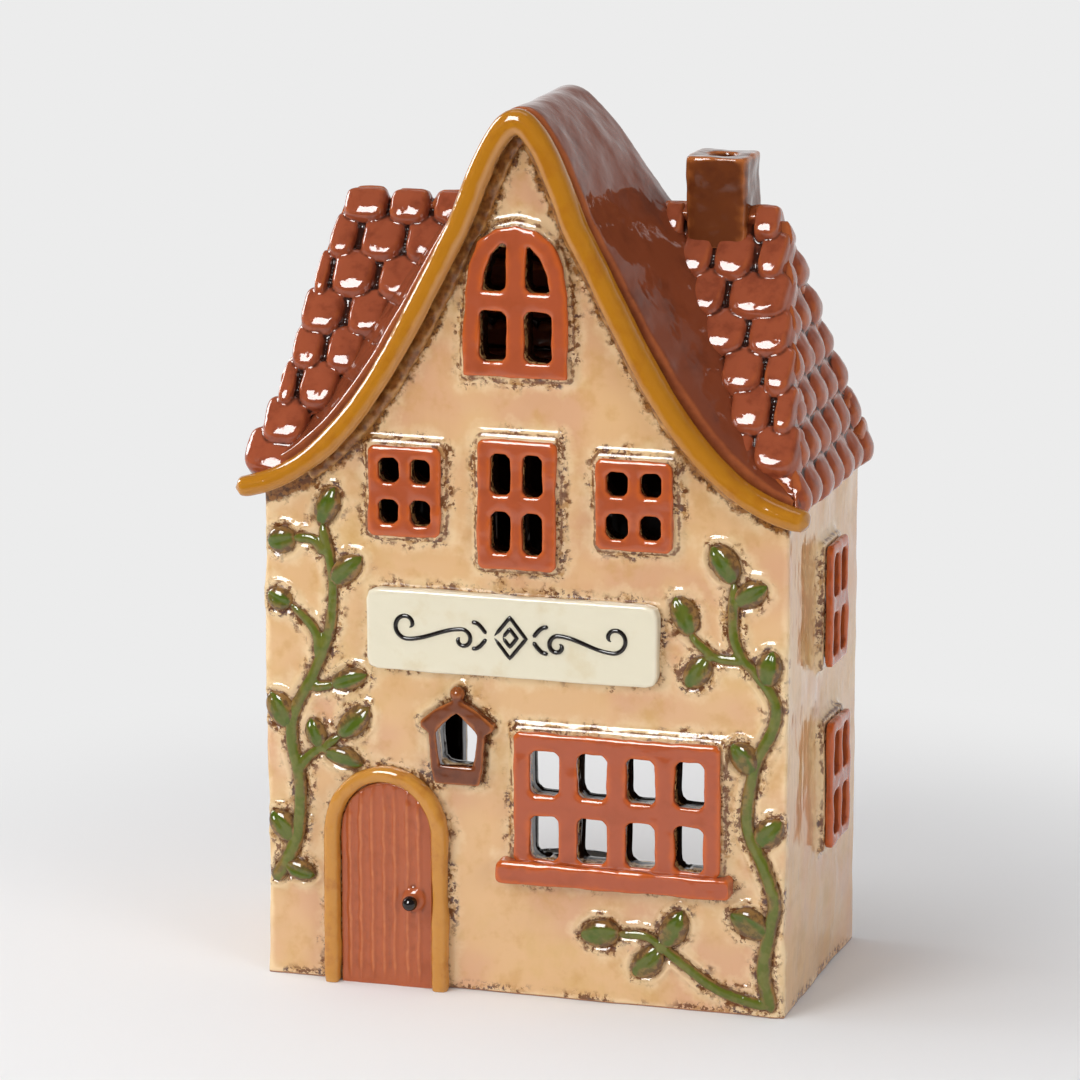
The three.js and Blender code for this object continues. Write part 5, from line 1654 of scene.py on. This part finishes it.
@dataclass
class Tealight:
    """The loose candle: a rolled cup, its wax, and the wick in its clip."""
    y: float = -3.0
    foot: float = 6.0
    radius: float = 19.0
    height: float = 16.0
    wall: float = 0.4
    wax: float = 14.0
    wick: Pair = (0.7, 22.1)
    wick_radius: float = 0.66

    def build_turned(self) -> None:
        """Turn the cup, the wax and the wick's clip."""
        r, h, w, top = self.radius, self.height, self.wall, self.wax
        cup = [(0.01, 0.35), (15, 0.35), (16, 0), (r - 1.2, 0), (r - 0.3, 0.5), (r - 0.05, 1.4),
               (r - 0.05, 4), (r - 0.05, 8), (r - 0.05, 12), (r - 0.05, h - 0.9), (r, h - 0.5),
               (r - 0.1, h - 0.1),
               (r - 0.35, h), (r - w - 0.1, h - 0.3), (r - w, h - 1.2), (r - w, 8), (r - w, 1.2),
               (r - w - 0.9, w + 0.2), (0.01, w + 0.2)]
        wax = [(1.2, w), (r - 1.6, w), (r - 0.75, w + 0.8), (r - 0.75, top), (r - 1.0, top),
               (r - 1.8, top - 0.35), (12, top - 0.55), (6, top - 0.7), (2.2, top - 0.5), (1.2, top - 0.1),
               (1.0, top - 0.2), (1.0, 5)]
        clip = [(1.0, w), (7.6, w), (8, w + 0.25), (7.6, w + 0.5), (2.6, w + 0.55), (1.7, w + 1.0),
                (1.5, w + 4.0), (1.3, w + 4.2), (1.0, w + 4.1)]
        for name, profile, finish, node, sides, flutes in (
                ("candle_cup", cup, Finish.ALUMINIUM, "tealight_cup", 160, 0.05),
                ("candle_wax", wax, Finish.WAX, "tealight_wax", 96, 0.0),
                ("candle_clip", clip, Finish.ALUMINIUM, "tealight_wick_clip", 48, 0.0)):
            piece = turned(name, profile, (0, self.y, self.foot), sides=sides, flutes=flutes)
            dress(piece, finish, [node], "tealight")

    def build(self) -> None:
        """Make the four pieces, the wick last."""
        self.build_turned()
        z = np.linspace(self.foot + self.wick[0], self.foot + self.wick[1], 30)
        bow = np.clip((z - self.foot - 15) / 7, 0, 1) ** 2
        line = np.column_stack([0.15 * bow, self.y - 0.3 * bow, z])
        radii = self.wick_radius + 0.04 * np.sin(np.arange(len(z)) * 1.9)
        radii[[0, -1]] = 0.3, 0.35
        dress(tube("candle_wick", line, radii, 16), Finish.COTTON, ["tealight_wick"], "tealight")


# Studio

class LampUse(Enum):
    """What a lamp is for: its light on matt tones, or its picture in the glaze."""
    LIGHT = "light"
    MIRROR = "mirror"


@dataclass(frozen=True)
class Lamp:
    """One soft lamp that faces the house, its place and size in millimetres and its power in watts."""
    name: str
    place: tuple[float, float, float]
    size: Pair
    power: float
    use: LampUse

    def hang(self) -> None:
        """Hang the lamp."""
        data = bpy.data.lights.new(self.name, "AREA")
        data.shape = "RECTANGLE"
        data.size, data.size_y = self.size[0] * MM, self.size[1] * MM
        data.energy = self.power
        lamp = linked(self.name, data)
        lamp.location = Vector(self.place) * MM
        lamp.rotation_euler = (Vector(self.place) - Vector((0, 0, 110))).to_track_quat("Z", "Y").to_euler()
        lamp.visible_diffuse = self.use is LampUse.LIGHT
        lamp.visible_glossy = self.use is LampUse.MIRROR


LAMPS = (
    Lamp("light_front", (-520, -900, 460), (650, 500), 5.0, LampUse.LIGHT),
    Lamp("light_left", (-1000, -100, 520), (700, 700), 3.2, LampUse.LIGHT),
    Lamp("light_top", (-260, -200, 1150), (900, 700), 3.9, LampUse.LIGHT),
    Lamp("light_right", (760, -560, 380), (400, 400), 2.3, LampUse.LIGHT),
    Lamp("window_front", (-286, -936, 650), (420, 620), 15.0, LampUse.MIRROR),
    Lamp("window_left", (-990, 220, 550), (450, 500), 8.5, LampUse.MIRROR),
    Lamp("window_top", (-60, 330, 1150), (900, 400), 1.3, LampUse.MIRROR))


@dataclass
class Studio:
    """The pale floor, the lamps and the camera."""
    focal: float = 5239.8
    frame_width: float = 1080.0
    yaw: float = 0.295891
    pitch: float = 0.220218
    distance: float = 1240.41
    aim_x: float = -6.1686
    aim_z: float = 101.740
    grey: Colour = (236, 236, 236)
    floor_mirrored: Colour = (60, 60, 60)
    room_front: Colour = (92, 92, 94)
    room_top: Colour = (64, 64, 66)
    room_matt: Colour = (172, 172, 174)

    def camera(self) -> None:
        """Set the camera where the photograph was taken from."""
        back = Vector((math.sin(self.yaw) * math.cos(self.pitch), -math.cos(self.yaw) * math.cos(self.pitch),
                       math.sin(self.pitch)))
        right = Vector((math.cos(self.yaw), math.sin(self.yaw), 0))
        data = bpy.data.cameras.new("camera")
        data.sensor_width = 36
        data.lens = self.focal * data.sensor_width / self.frame_width
        data.clip_start, data.clip_end = 0.01, 60
        eye = (Vector((self.aim_x, 0, self.aim_z)) + back * self.distance) * MM
        turn = Matrix((right, back.cross(right), back)).transposed().to_4x4()
        camera = linked("camera", data)
        camera.matrix_world = Matrix.Translation(eye) @ turn
        bpy.context.scene.camera = camera

    def floor(self) -> None:
        """Lay the pale floor, which holds the shadow near the house and runs into the backdrop's tone."""
        put_down()
        bpy.ops.mesh.primitive_grid_add(x_subdivisions=8, y_subdivisions=8, size=30)
        floor = name_active("studio_floor")
        kiln = Kiln(bpy.data.materials.new("fired_studio_floor"))
        plain = kiln.node("ShaderNodeBsdfDiffuse", {}, Color=linear(self.grey))
        place = kiln.node("ShaderNodeTexCoord", {}, output="Object")
        flat = kiln.node("ShaderNodeVectorMath", {"operation": "MULTIPLY"}, place, (1, 1, 0))
        far = kiln.node("ShaderNodeVectorMath", {"operation": "LENGTH"}, flat)
        mirrored = kiln.ray("Glossy")
        tone = kiln.mix(kiln.axis(place, "Y").ramp(-0.25, -0.6) * mirrored, self.grey, self.floor_mirrored)
        bright = kiln.node("ShaderNodeEmission", {}, Color=tone, Strength=1.0)
        factor = far.ramp(0.12, 0.27) * kiln.ray("Camera").most(mirrored)
        floor.data.materials.append(kiln.fire(kiln.node("ShaderNodeMixShader", {}, factor, plain, bright)))

    def world(self) -> None:
        """Light the room: pale behind the house, dimmer in front, and the backdrop's grey to the camera."""
        world = bpy.data.worlds.new("studio")
        bpy.context.scene.world = world
        kiln = Kiln(world)
        way = kiln.node("ShaderNodeTexCoord", {}, output="Generated")
        room = kiln.mix(kiln.axis(way, "Y").ramp(-0.25, 0.45), self.room_front, self.grey)
        room = kiln.mix(kiln.axis(way, "Z").ramp(0.12, 0.6) * 0.9, room, self.room_top)
        colour = kiln.mix(kiln.ray("Camera"), kiln.mix(kiln.ray("Glossy"), self.room_matt, room), self.grey)
        kiln.fire(kiln.node("ShaderNodeBackground", {}, Color=colour, Strength=1.0))

    def build(self) -> None:
        """Set up the studio."""
        self.camera()
        self.floor()
        self.world()
        for lamp in LAMPS:
            lamp.hang()
        bpy.context.scene.view_settings.view_transform = "Standard"


def main() -> None:
    """Build the holder piece by piece, glaze it, and set it in the studio."""
    logging.basicConfig(level=logging.INFO, format="%(message)s")
    Studio().build()
    windows, sign, lantern, door = Windows(), Sign(), Lantern(), Door()
    windows.build()
    sign.build()
    lantern.build()
    door.build_arch()
    door.build_panel()
    door.build_knob()
    pattern = Ivy.pressed_leaf()
    for ivy in (LEFT_IVY, RIGHT_IVY):
        ivy.build(pattern)
    bpy.data.objects.remove(pattern)
    roof = SweptRoof()
    roof.build_roof()
    roof.build_board()
    GableFillet().build()
    Chimney().build()
    TiledRoof().build()
    sprigs = [lantern.piece, *LEFT_IVY.pieces, *RIGHT_IVY.pieces]
    Walls().build(windows.pieces, sprigs, [windows.sill, sign.board, door.arch], roof.board)
    Tealight().build()


if __name__ == "__main__":
    main()
